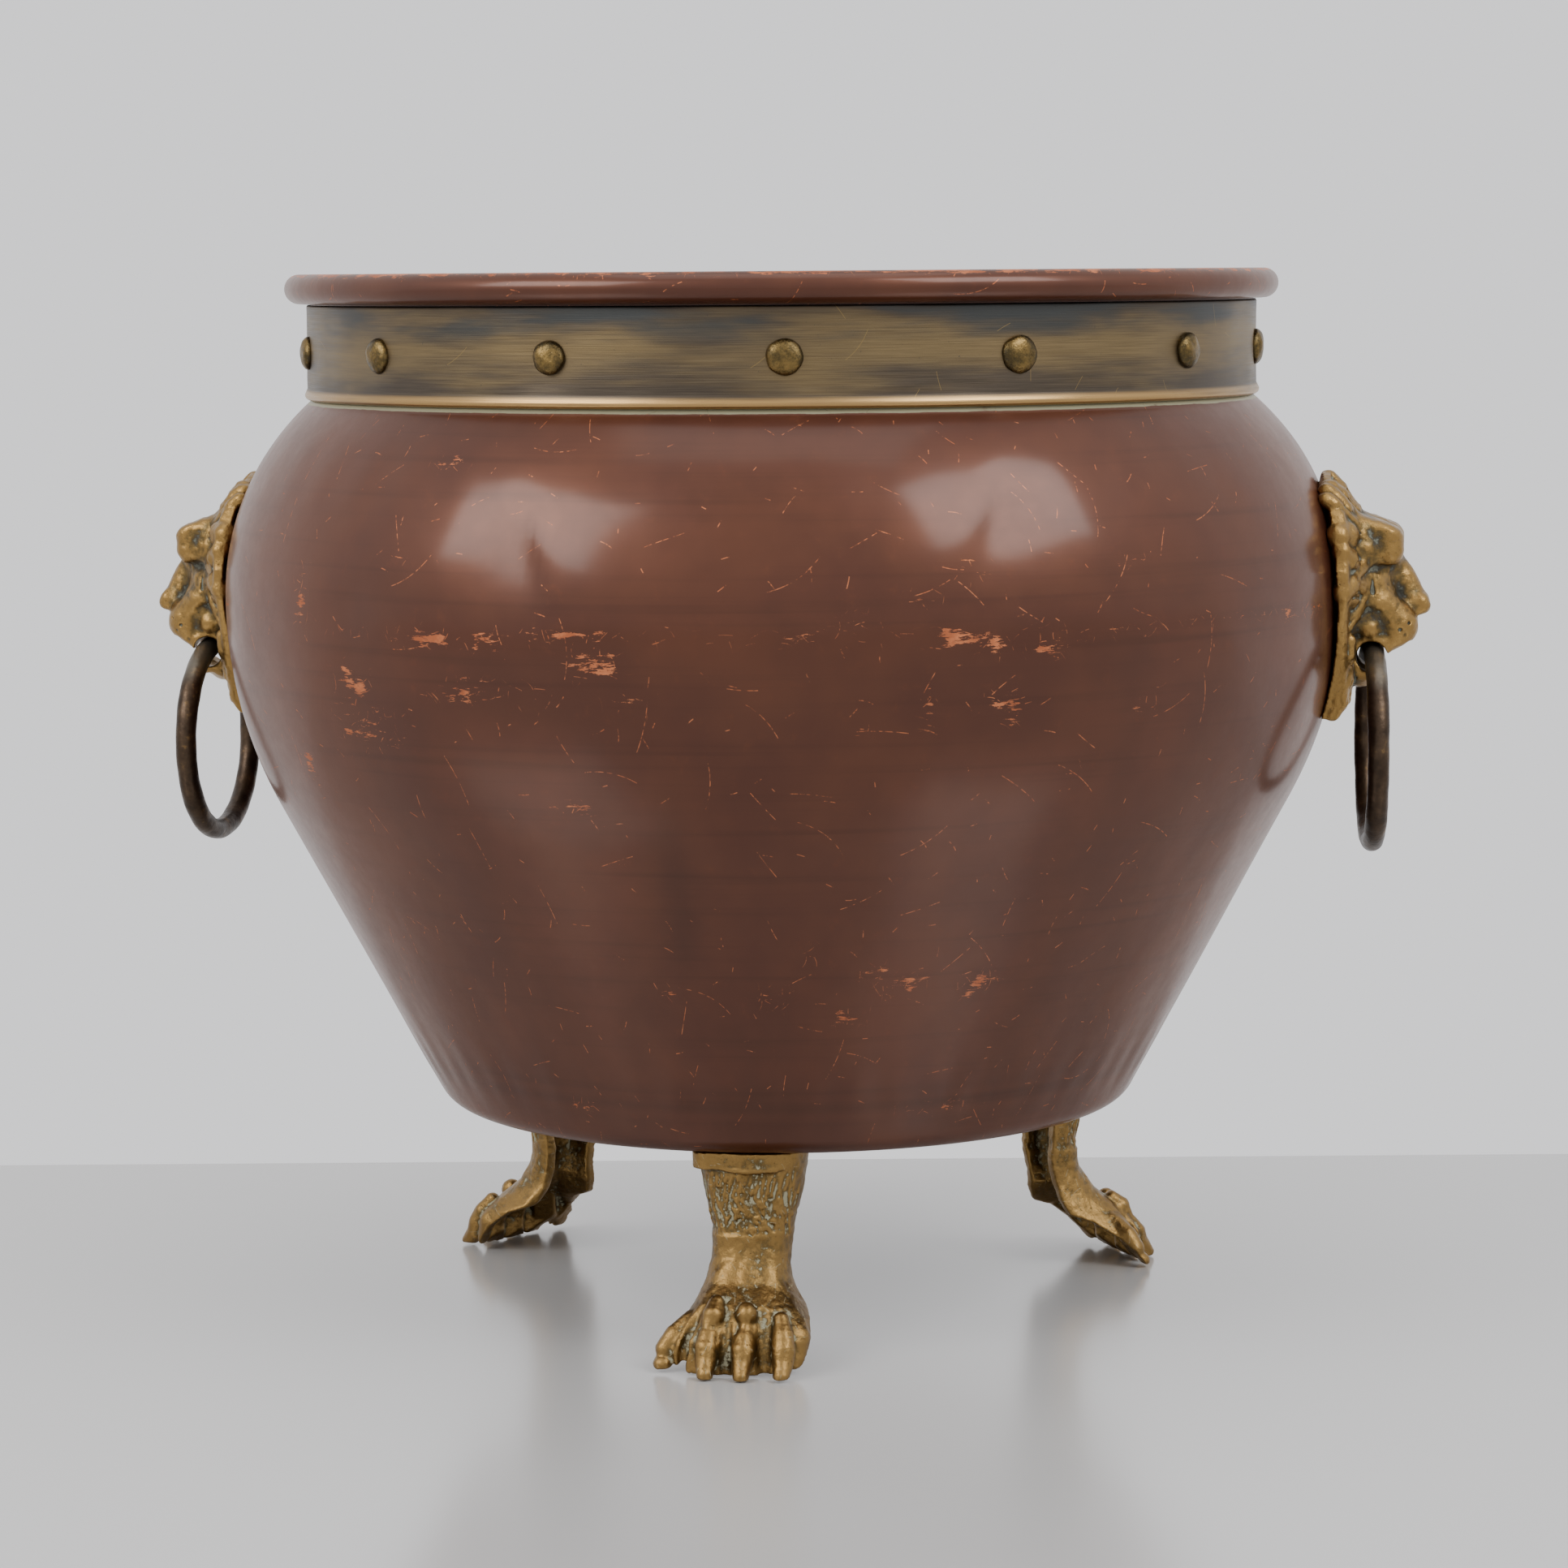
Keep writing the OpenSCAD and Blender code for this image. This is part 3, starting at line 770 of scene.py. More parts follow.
def model_mask():
    clay = Clay((146.0, 0.0, mask_z0 - 1.5), (182.5, 29.0, mask_z1 + 1.5), 0.36, mirrored=True)
    clay.work(mask_plate, (140, -5, 160), (200, 32, 240), 0.1)
    # Head behind the face: one solid mass
    clay.block((155.0, 0, 206), (10.2, 14.4, 18.0), 7.0, 2.0)
    clay.ball((156.0, 0, 203), (9.0, 15.6, 15.0), 2.5)
    model_face(clay)
    model_mane(clay)
    # Tunnel for the ring: an eye through the jaw with a wider mouth inside it, and the ring's sweep
    clay.rod([(pivot_r, -30, pivot_z), (pivot_r, 30, pivot_z)], bore_r, 0.4, cutting=True)
    clay.rod([(pivot_r, -mouth_half + mouth_r, pivot_z), (pivot_r, mouth_half - mouth_r, pivot_z)], mouth_r,
             0.4, cutting=True)
    clay.work(ring_sweep, (pivot_r - 12, 0, 150), (pivot_r + 34, 34, 216), 0.3, cutting=True)
    clay.spread()
    clay.field += 0.10 * clay.noise(1.3, 3) + 0.14 * clay.noise(3.1, 4) + 0.05 * clay.noise(0.7, 5)
    clay.rod([(pivot_r, -30, pivot_z), (pivot_r, 30, pivot_z)], bore_r, 0.1, cutting=True)
    clay.work(lambda x, y, z: pot_distance(x, y, z) - 0.1, (140, -32, 160), (165, 32, 240), 0.05,
              cutting=True)
    return clay


def ring_sweep(x, y, z):
    """The space that the ring's wire passes through as it swings, with a little play."""
    far = np.sqrt((x - pivot_r) ** 2 + (z - pivot_z) ** 2)
    dip = pivot_z - ring_z
    slack = np.abs(y) * math.sin(ring_yaw)
    across = np.sqrt((far - dip) ** 2 + y * y) - ring_r
    turned = np.degrees(np.arctan2(x - pivot_r, pivot_z - z))
    tube = np.abs(across) - ring_wire - 0.4 + 0 * far
    inside = np.maximum(tube, np.maximum(-33 - turned, turned - 171) * 0.3)
    off = np.maximum(np.abs(x - pivot_r) - slack, 0)
    wire_side = np.sqrt(across ** 2 + off ** 2) - ring_wire - 0.4
    return np.minimum(np.where(far < 6.5, tube + 10, inside), np.where(z < pivot_z + 4, wire_side, 10))


def brow_top(x, y, z):
    """Everything above the brow's sloping top."""
    return -((x - 160.4) * 0.405 + (z - 223.8) * 0.914) + 0 * y


def lip_front(x, y, z):
    """Everything in front of the lower jaw, under the rising line of the upper lip."""
    return np.maximum(pivot_r + 3.4 - x, (z - pivot_z - 0.8 - (x - pivot_r - 4.4) * 0.57) * 0.87) + 0 * y


def model_face(clay):
    # Brow: a heavy square block over each eye, its top sloping back, a shallow furrow between the two
    clay.block((163.2, 6.8, 215.2), (10.2, 7.2, 7.0), 4.4, 2.4)
    clay.work(brow_top, (158, -2, 217), (184, 18, 232), 2.4, cutting=True)
    clay.rod([(163, 0.0, 224.2), (172.4, 0.0, 220.2), (174.2, 0, 212)], [1.6, 1.2, 0.7], 1.8, cutting=True)
    clay.rod([(158.5, 11.0, 219.5), (161.5, 12.4, 213.0), (160.5, 12.6, 206.0)], [3.6, 3.6, 3.0], 2.4)
    clay.rod([(164.0, 11.4, 210.4), (169.4, 8.6, 210.6)], [2.0, 2.4], 2.0)
    # Bridge of the nose, widening to a blunt tip that overhangs the muzzle
    clay.block((163.4, 0, 203.5), (8.2, 9.4, 9.0), 4.5, 2.5)
    clay.rod([(167.8, 0, 211.5), (172.8, 0, 204.0), (175.5, 0, 198.4)], [4.0, 4.3, 4.2], 2.2)
    clay.block((175.9, 0, 196.4), (4.9, 5.2, 2.9), 2.3, 1.6, tilt=-20)
    # Muzzle: a solid snout, two pads in front, and a broad cheek running up to the eye
    clay.block((163.6, 0, 190.8), (11.2, 10.2, 6.6), 4.6, 1.5)
    clay.ball((172.2, 4.7, 191.1), (5.3, 5.0, 5.2), 1.8)
    clay.rod([(160.0, 9.4, 203.0), (166.0, 8.4, 198.0), (171.2, 5.8, 193.2)], [5.4, 5.0, 4.6], 2.6)
    # Eye: a full lid, with a narrow upright slit
    clay.ball((162.4, 8.6, 203.4), (6.4, 5.2, 5.4), 1.4)
    clay.rod([(165.2, 13.5, 204.4), (165.2, 13.6, 201.2)], [0.45, 0.7], 0.35, cutting=True)
    # Deep groove between the eye and the nose, and the hollow behind the cheek
    clay.rod([(171.4, 7.6, 207.2), (173.2, 8.2, 203.6), (174.6, 8.0, 200.0)], [1.6, 2.6, 1.6], 1.8,
             cutting=True)
    clay.rod([(170.4, 9.8, 207.6), (166.0, 13.4, 207.6)], [0.6, 0.6], 1.6, cutting=True)
    clay.ball((160.4, 15.8, 198.8), (3.0, 2.5, 3.2), 1.8, cutting=True)
    # Whisker pad behind the muzzle, a crease over it and the crease between it and the front pad
    clay.ball((163.9, 8.2, 191.3), (4.0, 4.6, 3.7), 1.4)
    clay.rod([(159.0, 13.6, 194.2), (161.2, 13.8, 195.6), (164.0, 13.6, 196.0), (166.8, 13.0, 195.0)],
             [0.6, 0.8, 0.8, 0.5], 1.8, cutting=True)
    clay.rod([(168.2, 12.2, 193.0), (168.6, 11.6, 188.0)], [0.5, 0.8], 2.0, cutting=True)
    # Nostrils, lip groove under the nose, whisker dots
    clay.rod([(179.4, 2.6, 193.4), (177.0, 3.2, 194.4)], [0.9, 0.8], 0.5, cutting=True)
    clay.rod([(178.8, 0, 193.0), (177.0, 0, 187.5), (171, 0, 184.5)], [0.6, 0.8, 0.9], 0.8, cutting=True)
    for x, y, z in ((174.8, 8.9, 192.4), (172.6, 10.2, 190.6), (174.2, 9.5, 189.0)):
        clay.ball((x, y, z), 0.5, 0.4, cutting=True)
    # Jaw: side walls that carry the ring, open in front under the lip, and a chin between its two branches
    clay.block((pivot_r - 1.2, 0, pivot_z + 0.2), (6.6, jaw_half, 6.6), 3.0, 1.5)
    clay.work(lip_front, (pivot_r + 2, -14, 172), (184, 14, 184), 1.0, cutting=True)
    clay.ball((161.6, 0, 177.2), (4.6, 8.2, 3.2), 1.6)
    clay.block((155.4, 0, 180.0), (4.6, 9.5, 5.0), 3.0, 1.5)


# Fat curls on the mask's rim: angle round the face in degrees, and radius
CURLS = ((88, 3.2), (68, 3.6), (49, 3.2), (28, 4.3), (8, 3.3), (-9, 3.6), (-25, 3.1), (-39, 3.2))

# Locks of the beard: sideways place, height of the root, length, sideways lean, height off the pot
BEARD = (
    (15.8, 188, 8.0, -0.6, 4.4), (13.2, 181, 8.5, -1.0, 4.5), (8.6, 179, 11.5, 0.4, 4.6),
    (4.2, 177, 10.5, -0.3, 4.4), (11.6, 174, 7.0, -0.4, 4.3), (0.4, 175, 8.4, 0.3, 4.6),
)


def model_mane(clay):
    """A thick wreath of locks round the face: fat curls on the rim, finer ones inside, and a beard."""
    def spot(at, radius, turn, height):
        a = math.radians(at + turn)
        return on_pot(max(radius * math.cos(a), 0.0), mane_z + radius * math.sin(a), height)

    for k, (at, fat) in enumerate(CURLS):
        rim = float(np.interp(mane_z + 23 * math.sin(math.radians(at)), MASK_RISE, MASK_RIM))
        bend = 4 if k % 2 else -5
        out = 0.0 if at > -20 else 2.0
        clay.rod([spot(at, 16.0, bend, rim - fat + 0.8), spot(at, 21.0 - out, -bend * 0.3, rim - fat + 0.9),
                  spot(at, 24.2 - out, -bend, rim - fat + 0.1)], [fat * 0.8, fat, fat * 0.82], 0.7)
        for side in (-1, 1):
            turn = side * 3.4
            clay.rod([spot(at, 17.5, bend + turn, rim + 0.9), spot(at, 21.0, turn - bend * 0.3, rim + 0.5),
                      spot(at, 25.6, turn - bend, rim - fat)], [0.2, 0.4, 0.2], 0.5, cutting=True)
    for k, at in enumerate((80, 60, 41, 20, 2, -16, -33)):
        swing = 8 if k % 2 else -7
        clay.lock([spot(at, 12.5, -swing, 7.4), spot(at, 16.3, swing * 0.7, 6.6), spot(at, 20.0, swing, 4.9)],
                  (2.9, 1.5), 3, 0.5)
    # Forehead tufts that step up to the brow
    for y, lean_out, drop in ((1.8, 0.8, 0.0), (6.2, 1.8, 0.2), (10.4, 3.0, 1.2), (13.6, 4.0, 3.4)):
        clay.rod([(159.4, y, 222.8 - drop), (157.0, y + lean_out * 0.5, 225.8 - drop),
                  (154.2, y + lean_out, 228.8 - drop)], [2.4, 2.3, 2.2], 0.7)
        clay.ball((152.4, y + lean_out, 230.0 - drop), (2.6, 2.5, 2.2), 0.7)
        clay.rod([(161.4, y + 1.0, 224.6 - drop), (157.6, y + 1.2 + lean_out * 0.5, 228.4 - drop)],
                 [0.3, 0.5], 0.4, cutting=True)
    # Beard: locks that hang from the cheek and jaw down to the flat lower end
    for y, z, length, lean_out, lift in BEARD:
        low = max(z - length, mask_z0 + 0.9)
        bend, half_way = y + lean_out * 1.4, (z + low) / 2
        clay.rod([on_pot(y, z, lift - 0.8), on_pot(bend, half_way, lift - 0.7),
                  on_pot(y + lean_out, low, lift - 1.6)], [2.0, 2.5, 1.5], 0.8)
        clay.rod([on_pot(y + 0.5, z - 1, lift + 1.9), on_pot(bend + 0.6, half_way, lift + 1.9),
                  on_pot(y + lean_out, low + 1.0, lift)], [0.3, 0.5, 0.3], 0.4, cutting=True)


# ---------------------------------------------------------------- paw feet

cast_t = 3.4                                   # thickness of the casting's wall
flange_t = 4.5

# Outline of a leg seen from the front and from the side: height, middle, half width, back and front
LEG = np.array([
    (57.2, 2.4, 14.9, 78.6, 93.6), (52.0, 2.3, 14.4, 79.0, 92.8), (45.0, 2.3, 13.2, 79.4, 91.4),
    (38.0, 2.3, 11.4, 79.8, 90.4), (31.0, 2.2, 10.2, 80.2, 90.0), (26.0, 1.9, 10.1, 81.2, 91.0),
    (20.0, 1.2, 11.2, 82.5, 93.6), (15.0, 1.0, 13.0, 84.5, 97.5)])

# Outline of the foot: height, left side, right side and front
FOOT = np.array([
    (0.0, -16.0, 15.0, 108.0), (1.5, -18.0, 16.6, 108.2), (5.0, -19.4, 19.0, 108.2),
    (9.0, -17.4, 19.9, 107.8), (13.0, -14.4, 19.0, 105.4), (17.0, -11.6, 15.8, 101.6),
    (22.0, -9.0, 11.8, 95.6), (28.0, -7.7, 11.2, 90.6), (33.0, -7.6, 11.4, 89.6)])

# Grooves between the toes, each from its top down to the floor, and its radius
TOE_GROOVES = (
    ([(100.5, -9.4, 17.2), (103.8, -11.6, 11.4), (105.4, -13.4, 5.0), (104.8, -13.6, 0.0)], 1.5),
    ([(102.6, -1.6, 17.4), (106.4, -1.5, 12.4), (108.4, -1.7, 7.0), (108.4, -1.7, 0.0)], 1.6),
    ([(102.4, 7.7, 17.0), (106.0, 8.5, 12.6), (107.8, 8.7, 7.2), (107.9, 8.7, 0.0)], 2.4),
)


def leg_at(z):
    return [np.interp(z, LEG[::-1, 0], LEG[::-1, k]) for k in (1, 2, 3, 4)]


def leg_distance(x, y, z):
    middle, half, back, ahead = leg_at(z)
    u = np.abs(y - middle + 0.0 * x) / half
    v = (x - back) / (ahead - back)
    k = (u ** 2.6 + np.maximum(v, 0) ** 2.6) ** (1 / 2.6)
    around = (k - 1) * np.minimum(half, ahead - back) * 0.9
    return np.maximum(around, np.maximum(back - x, np.maximum(z - base_z, 14 - z)))


def foot_distance(x, y, z):
    """The spread of the foot under the toes, curving back at its sides."""
    left, right, ahead = (np.interp(z, FOOT[:, 0], FOOT[:, k]) for k in (1, 2, 3))
    back = np.interp(z, [0.0, 8.6, 13.0, 15.0, 20.0, 33.0], [98.0, 95.0, 90.0, 85.5, 82.8, 80.4])
    ahead = ahead - 0.011 * (y + 1.0) ** 2
    sides = smooth_max(y - right, left - y, 2.0)
    shape = smooth_max((x - ahead) * 0.85, sides * 0.9, 7.0)
    return np.maximum(smooth_max(shape, back - x, 2.0), np.maximum(z - 33, -z))


def leg_front(y, z, rise=0.0):
    """The point on the front of the leg at a place (y, z) across its middle, risen from its surface."""
    middle, half, back, ahead = leg_at(z)
    u = min(abs(y) / half, 0.97)
    return (back + (ahead - back) * (1 - u ** 2.6) ** (1 / 2.6) + rise, y + middle, z)


def model_paw():
    clay = Clay((63.0, -24.5, -1.0), (116.0, 22.5, base_z + 0.6), 0.40)
    clay.work(leg_distance, (76, -18, 14), (100, 20, base_z), 0.1)
    clay.work(foot_distance, (80, -24, 0), (112, 22, 33), 3.0)
    for groove, deep in TOE_GROOVES:
        clay.rod(groove, [deep * 0.7, deep, deep, deep * 0.8], 1.0, cutting=True)
    # Second toe: a long knuckle over a ridge. Third: a round knuckle, a neck and a ridge. Fourth: one ridge
    clay.rod([(100.6, -5.0, 18.2), (103.2, -5.5, 15.6), (104.4, -6.1, 13.2)], [2.2, 2.9, 2.3], 1.0)
    clay.rod([(105.8, -6.4, 10.6), (107.4, -6.7, 7.8), (108.6, -6.7, 4.8), (111.4, -6.5, 1.4)],
             [2.6, 3.2, 2.9, 2.2], 0.8)
    clay.ball((103.0, 3.4, 16.0), (3.1, 2.9, 3.4), 0.9)
    clay.rod([(104.8, 3.3, 12.8), (105.8, 3.2, 11.2)], [1.7, 1.8], 0.9)
    clay.rod([(106.4, 3.2, 9.8), (108.0, 3.1, 7.2), (109.2, 3.1, 4.4), (112.0, 3.1, 1.4)],
             [2.6, 3.2, 2.9, 2.2], 0.8)
    clay.rod([(102.4, 12.6, 14.6), (105.2, 13.4, 11.0), (106.8, 13.8, 7.6), (108.0, 13.8, 4.6),
              (111.0, 13.6, 1.4)], [2.2, 2.9, 3.2, 2.9, 2.2], 0.8)
    # First toe, splayed outwards over a small ball; and the lump on the other flank
    clay.rod([(97.5, -12.4, 13.4), (100.2, -16.2, 9.4), (101.8, -18.8, 5.8)], [1.9, 2.8, 2.6], 1.0)
    clay.ball((102.8, -19.0, 2.0), (3.2, 2.8, 2.7), 0.8)
    clay.rod([(95.6, 13.4, 13.6), (99.6, 16.2, 9.4), (101.6, 16.0, 3.8)], [2.6, 3.2, 2.9], 2.0)
    # Tendons running up from each knuckle, and the thin sagging lip round the top of the leg
    for y0, y1 in ((-6.5, -3.4), (1.0, 0.6), (8.5, 4.6)):
        clay.rod([leg_front(y1, 28, -1.4), leg_front(y0 * 0.8, 21.5, -0.8)], [1.6, 2.3], 2.0)
    lip = [leg_front(y, 55.2 - 3.0 * (1 - (y / 14.5) ** 2), -0.15) for y in np.linspace(-13.2, 13.2, 9)]
    clay.rod(lip, [0.1, 0.3, 0.55, 0.7, 0.75, 0.7, 0.55, 0.3, 0.1], 0.5)
    model_fur(clay)
    # Hollow: the wall keeps its thickness, open at the back and, in front of the heel, underneath
    solid = clay.field.copy()
    inside = distance_inside(solid, clay.pitch)
    hollow = cast_t + inside
    x, y, z = clay.axes
    hollow = np.where(z[None, None, :] > base_z - flange_t, clay.FAR, hollow)
    back = np.minimum.accumulate(hollow[::-1], axis=0)[::-1]
    low = np.minimum.accumulate(back[:, :, ::-1], axis=2)[:, :, ::-1]
    open_below = (z[None, None, :] < 16) & (x[:, None, None] > 84)
    hollow = np.where(open_below, low, back)
    clay.field = smooth_max(clay.field, -hollow, 0.6)
    clay.work(flange, (63, -16, 50), (96, 16, base_z), 1.0)
    clay.work(under_sole, (60, -26, -4), (120, 24, 17), 0.6, cutting=True)
    for side in (-1, 1):
        spot = (75.0, side * 6.5)
        clay.rod([(*spot, 48), (*spot, 62)], 1.85, 0.1, cutting=True)
    clay.field += 0.10 * clay.noise(1.4, 13) + 0.16 * clay.noise(3.7, 14) + 0.05 * clay.noise(0.8, 15)
    clay.work(lambda x, y, z: base_z - z + 0 * x * y, (60, -26, 50), (120, 24, 62), 0.05, cutting=True)
    clay.work(lambda x, y, z: z + 0 * x * y - 0.02, (60, -26, -3), (120, 24, 3), 0.05, cutting=True)
    return clay


def distance_inside(field, pitch):
    """Depth below the surface, grown out from the clay's near distances by repeated one-voxel steps."""
    depth = np.where(field > 0, 0.0, np.float32(50.0))
    near_surface = (field <= 0) & (field > -pitch * 1.5)
    depth = np.where(near_surface, -field, depth)
    for _ in range(2):
        for axis in (0, 1, 2):
            for step in (1, -1):
                view = np.moveaxis(depth, axis, 0)[::step]
                for i in range(1, view.shape[0]):
                    np.minimum(view[i], view[i - 1] + pitch, out=view[i])
    return -depth


def flange(x, y, z):
    """The plate under the base that the two screws pass through."""
    u, v = np.maximum(np.abs(y) - 8.5, 0), np.maximum(70.5 - x, 0) + np.maximum(x - 88.0, 0)
    return np.maximum(np.sqrt(u * u + v * v) - 4.6, np.abs(z - base_z + flange_t / 2) - flange_t / 2)


def under_sole(x, y, z):
    """The space under the rising line of the sole, from the heel to the toes, higher at its sides."""
    middle = np.interp(x, [84.0, 91.0, 97.4, 103.5, 106.5], [15.5, 13.0, 8.6, 3.0, 0.3])
    edges = np.interp(x, [84.0, 91.0, 97.4, 101.0, 104.0], [15.5, 13.0, 8.6, 5.0, 1.0])
    sole = middle + (edges - middle) * np.clip((np.abs(y + 1.0) - 12.0) / 5.0, 0, 1)
    return (z - sole) * 0.85


def model_fur(clay):
    """Strands of fur chased into the front of the leg: upright at its sides, slanting across its middle."""
    rng = np.random.default_rng(21)
    for _ in range(340):
        z = rng.uniform(36, 52)
        half = leg_at(z)[1]
        y = rng.uniform(-0.96, 0.96) * half
        length = rng.uniform(2.5, 6.0)
        slant = 0.60 * (1 - abs(y) / half) * (1 if z < 47 else -0.5) - 0.12 * y / half
        low = max(z - length, 33.5 + rng.uniform(0, 4) ** 1.4)
        reach = 0.95 * leg_at(low)[1]
        end = np.clip(y + slant * length, -reach, reach)
        cutting = rng.random() < 0.62
        rise = 0.0 if cutting else -0.15
        clay.rod([leg_front(y, z, rise), leg_front((y + end) / 2, (z + low) / 2, rise + 0.08),
                  leg_front(end, low, rise)], [0.15, 0.36 if cutting else 0.45, 0.15], 0.3, cutting=cutting)


# ---------------------------------------------------------------- finishes

def object_mm(tree):
    """Object coordinates in millimetres."""
    at = put(tree, "ShaderNodeTexCoord", out=3)
    return put(tree, "ShaderNodeVectorMath", {"operation": "SCALE"}, {0: at, "Scale": 1000.0})


def surface_mm(tree, stretch=(1.0, 1.0, 1.0)):
    """The pot's own UV in millimetres: round the pot, and up along its outline."""
    at = put(tree, "ShaderNodeUVMap", {"uv_map": "surface"})
    scale = tuple(1000.0 * s for s in stretch)
    return put(tree, "ShaderNodeVectorMath", {"operation": "MULTIPLY"}, {0: at, 1: scale})


def blotches(at, size, detail=2.0, rough=0.55, offset=(0.0, 0.0, 0.0)):
    """Noise with lumps of about size millimetres."""
    moved = put(at.tree, "ShaderNodeVectorMath", {"operation": "ADD"}, {0: at, 1: offset})
    return put(at.tree, "ShaderNodeTexNoise",
               ins={"Vector": moved, "Scale": 1.0 / size, "Detail": detail, "Roughness": rough})


def ramp(value, low, high, to_low=0.0, to_high=1.0):
    """A smooth step of value from low to high."""
    return put(value.tree, "ShaderNodeMapRange", {"interpolation_type": "SMOOTHSTEP"},
               {0: value, 1: low, 2: high, 3: to_low, 4: to_high})


def over(below, above, amount):
    """One colour laid over another by an amount."""
    below, above = (srgb(colour) if isinstance(colour, str) else colour for colour in (below, above))
    return put(amount.tree, "ShaderNodeMix", {"data_type": "RGBA"}, {0: amount, 6: below, 7: above}, out=2)


def scratches(at, cell, length, width, keep, seed):
    """Scattered straight scratches: in each cell of about cell millimetres, at most one, at its own angle.

    keep is the share of cells that have one; length and width are half sizes in millimetres."""
    tree = at.tree
    shift = (seed * 37.7, seed * 91.3, 0.0)
    moved = put(tree, "ShaderNodeVectorMath", {"operation": "ADD"}, {0: at, 1: shift})
    flat = put(tree, "ShaderNodeVectorMath", {"operation": "MULTIPLY"}, {0: moved, 1: (1.0, 1.0, 0.0)})
    cells = put(tree, "ShaderNodeTexVoronoi", {"voronoi_dimensions": "2D"},
                {"Vector": flat, "Scale": 1.0 / cell})
    middle = cells.beside("Position")
    away = put(tree, "ShaderNodeVectorMath", {"operation": "SUBTRACT"}, {0: flat, 1: middle})
    away = put(tree, "ShaderNodeVectorMath", {"operation": "SCALE"}, {0: away, "Scale": 1.0 / cell})
    lean = put(tree, "ShaderNodeSeparateColor", ins={0: cells.beside("Color")})
    long = lean.beside(1)
    rare = lean.beside(2)
    turned = put(tree, "ShaderNodeVectorRotate", {"rotation_type": "Z_AXIS"},
                 {"Vector": away, "Angle": lean * math.pi})
    along = put(tree, "ShaderNodeSeparateXYZ", ins={0: turned})
    bow = along * along * (long - 0.5)
    off = abs(along.beside(1) + bow)
    within = abs(along) < ramp(long, 0.0, 1.0, 0.35, 1.0) * (length / cell)
    thin = ramp(off, width / cell, width / cell * 0.3)
    return thin * within * (rare < keep)


def bumped(layers):
    """A normal from several heights in millimetres, laid one over another as (height socket, depth)."""
    normal = None
    for height, depth in layers:
        ins = {"Height": height, "Distance": depth * MM, "Strength": 1.0}
        if normal is not None:
            ins["Normal"] = normal
        normal = put(height.tree, "ShaderNodeBump", ins=ins)
    return normal


def shader(tree, surface, colour, roughness, metallic, normal=None, **constants):
    """The principled shader; constants go straight onto its own sockets."""
    ins = {"Base Color": colour, "Roughness": roughness, "Metallic": metallic}
    if normal is not None:
        ins["Normal"] = normal
    ins.update({name.replace("_", " "): value for name, value in constants.items()})
    bsdf = put(tree, "ShaderNodeBsdfPrincipled", ins=ins)
    tree.links.new(bsdf.socket, surface)


def patinated_copper():
    """Copper sheet, spun and planished, with a brown oxide patina that has been waxed.

    The oxide makes it a deep red-brown, the wax gives clear soft reflections, and where it is knocked or
    rubbed, mostly along the widest line, bright orange copper shows through."""
    material, tree, surface = new_material("copper_brown_oxide_patina_waxed")
    at = surface_mm(tree)
    worn = put(tree, "ShaderNodeAttribute", {"attribute_name": "wear"}, out=2)
    stain = put(tree, "ShaderNodeAttribute", {"attribute_name": "stain"}, out=2)
    long = surface_mm(tree, (0.22, 1.0, 1.0))
    # Oxide: cloudy, with turned streaks round the pot
    clouds = blotches(at, 42.0, 3.0, 0.6)
    small = blotches(at, 6.0, 4.0, 0.7, (40.0, 7.0, 0.0))
    streaks = blotches(surface_mm(tree, (0.02, 1.0, 1.0)), 3.5, 3.0, 0.6)
    brown = over("#462519", "#522d1d", ramp(clouds, 0.3, 0.72))
    brown = over(brown, "#63341d", ramp(small, 0.55, 0.85) * 0.35)
    brown = over(brown, "#281209", ramp(streaks, 0.5, 0.8) * 0.3)
    brown = over(brown, "#1f0f0a", stain * 0.6)
    # Bare copper: patches where the wear is heavy, scuffs, and fine scratches everywhere
    torn = blotches(long, 1.5, 5.0, 0.75, (11.0, 3.0, 0.0))
    broad = blotches(at, 7.0, 2.0, 0.5, (3.0, 71.0, 0.0))
    patchy = torn * 0.62 + broad * 0.38
    patches = ramp(patchy + worn * 0.3, 0.715, 0.745)
    fine = scratches(at, 17.0, 8.0, 0.17, 0.55, 1)
    short = scratches(at, 8.0, 1.8, 0.19, 0.36, 2)
    dense = scratches(at, 3.6, 2.4, 0.13, 0.75, 3) * ramp(worn, 0.12, 0.55)
    broken = ramp(blotches(at, 1.6, 2.0, 0.6, (9.0, 0.0, 0.0)), 0.42, 0.6)
    lines = (fine | short | dense) * broken
    bare = patches | lines * 0.85
    copper = over("#a35a38", "#c67a50", ramp(small, 0.35, 0.7))
    colour = over(brown, copper, bare)
    # Verdigris caught in the joint under the band
    height = put(tree, "ShaderNodeSeparateXYZ", ins={0: object_mm(tree)}, out=2)
    off_joint = abs(height - (band_z0 - 0.5))
    joint = put(tree, "ShaderNodeAttribute", {"attribute_name": "joint"}, out=2) * ramp(off_joint, 1.3, 0.4)
    crust = ramp(blotches(long, 3.0, 4.0, 0.7, (5.0, 5.0, 0.0)) + joint, 1.2, 1.42)
    colour = over(colour, "#8d8a70", crust)
    roughness = ramp(small, 0.2, 0.8, 0.34, 0.44) + bare * 0.12 + crust * 0.4
    metallic = bare * 0.45 + 0.5
    normal = bumped([(blotches(at, 30.0, 2.0, 0.5, (0.0, 50.0, 0.0)), 0.6), (small, 0.03), (bare, -0.03)])
    shader(tree, surface, colour, roughness, metallic, normal, Coat_Weight=0.4, Coat_Roughness=0.16,
           Specular_Tint=srgb("#e6bfab"))
    return material


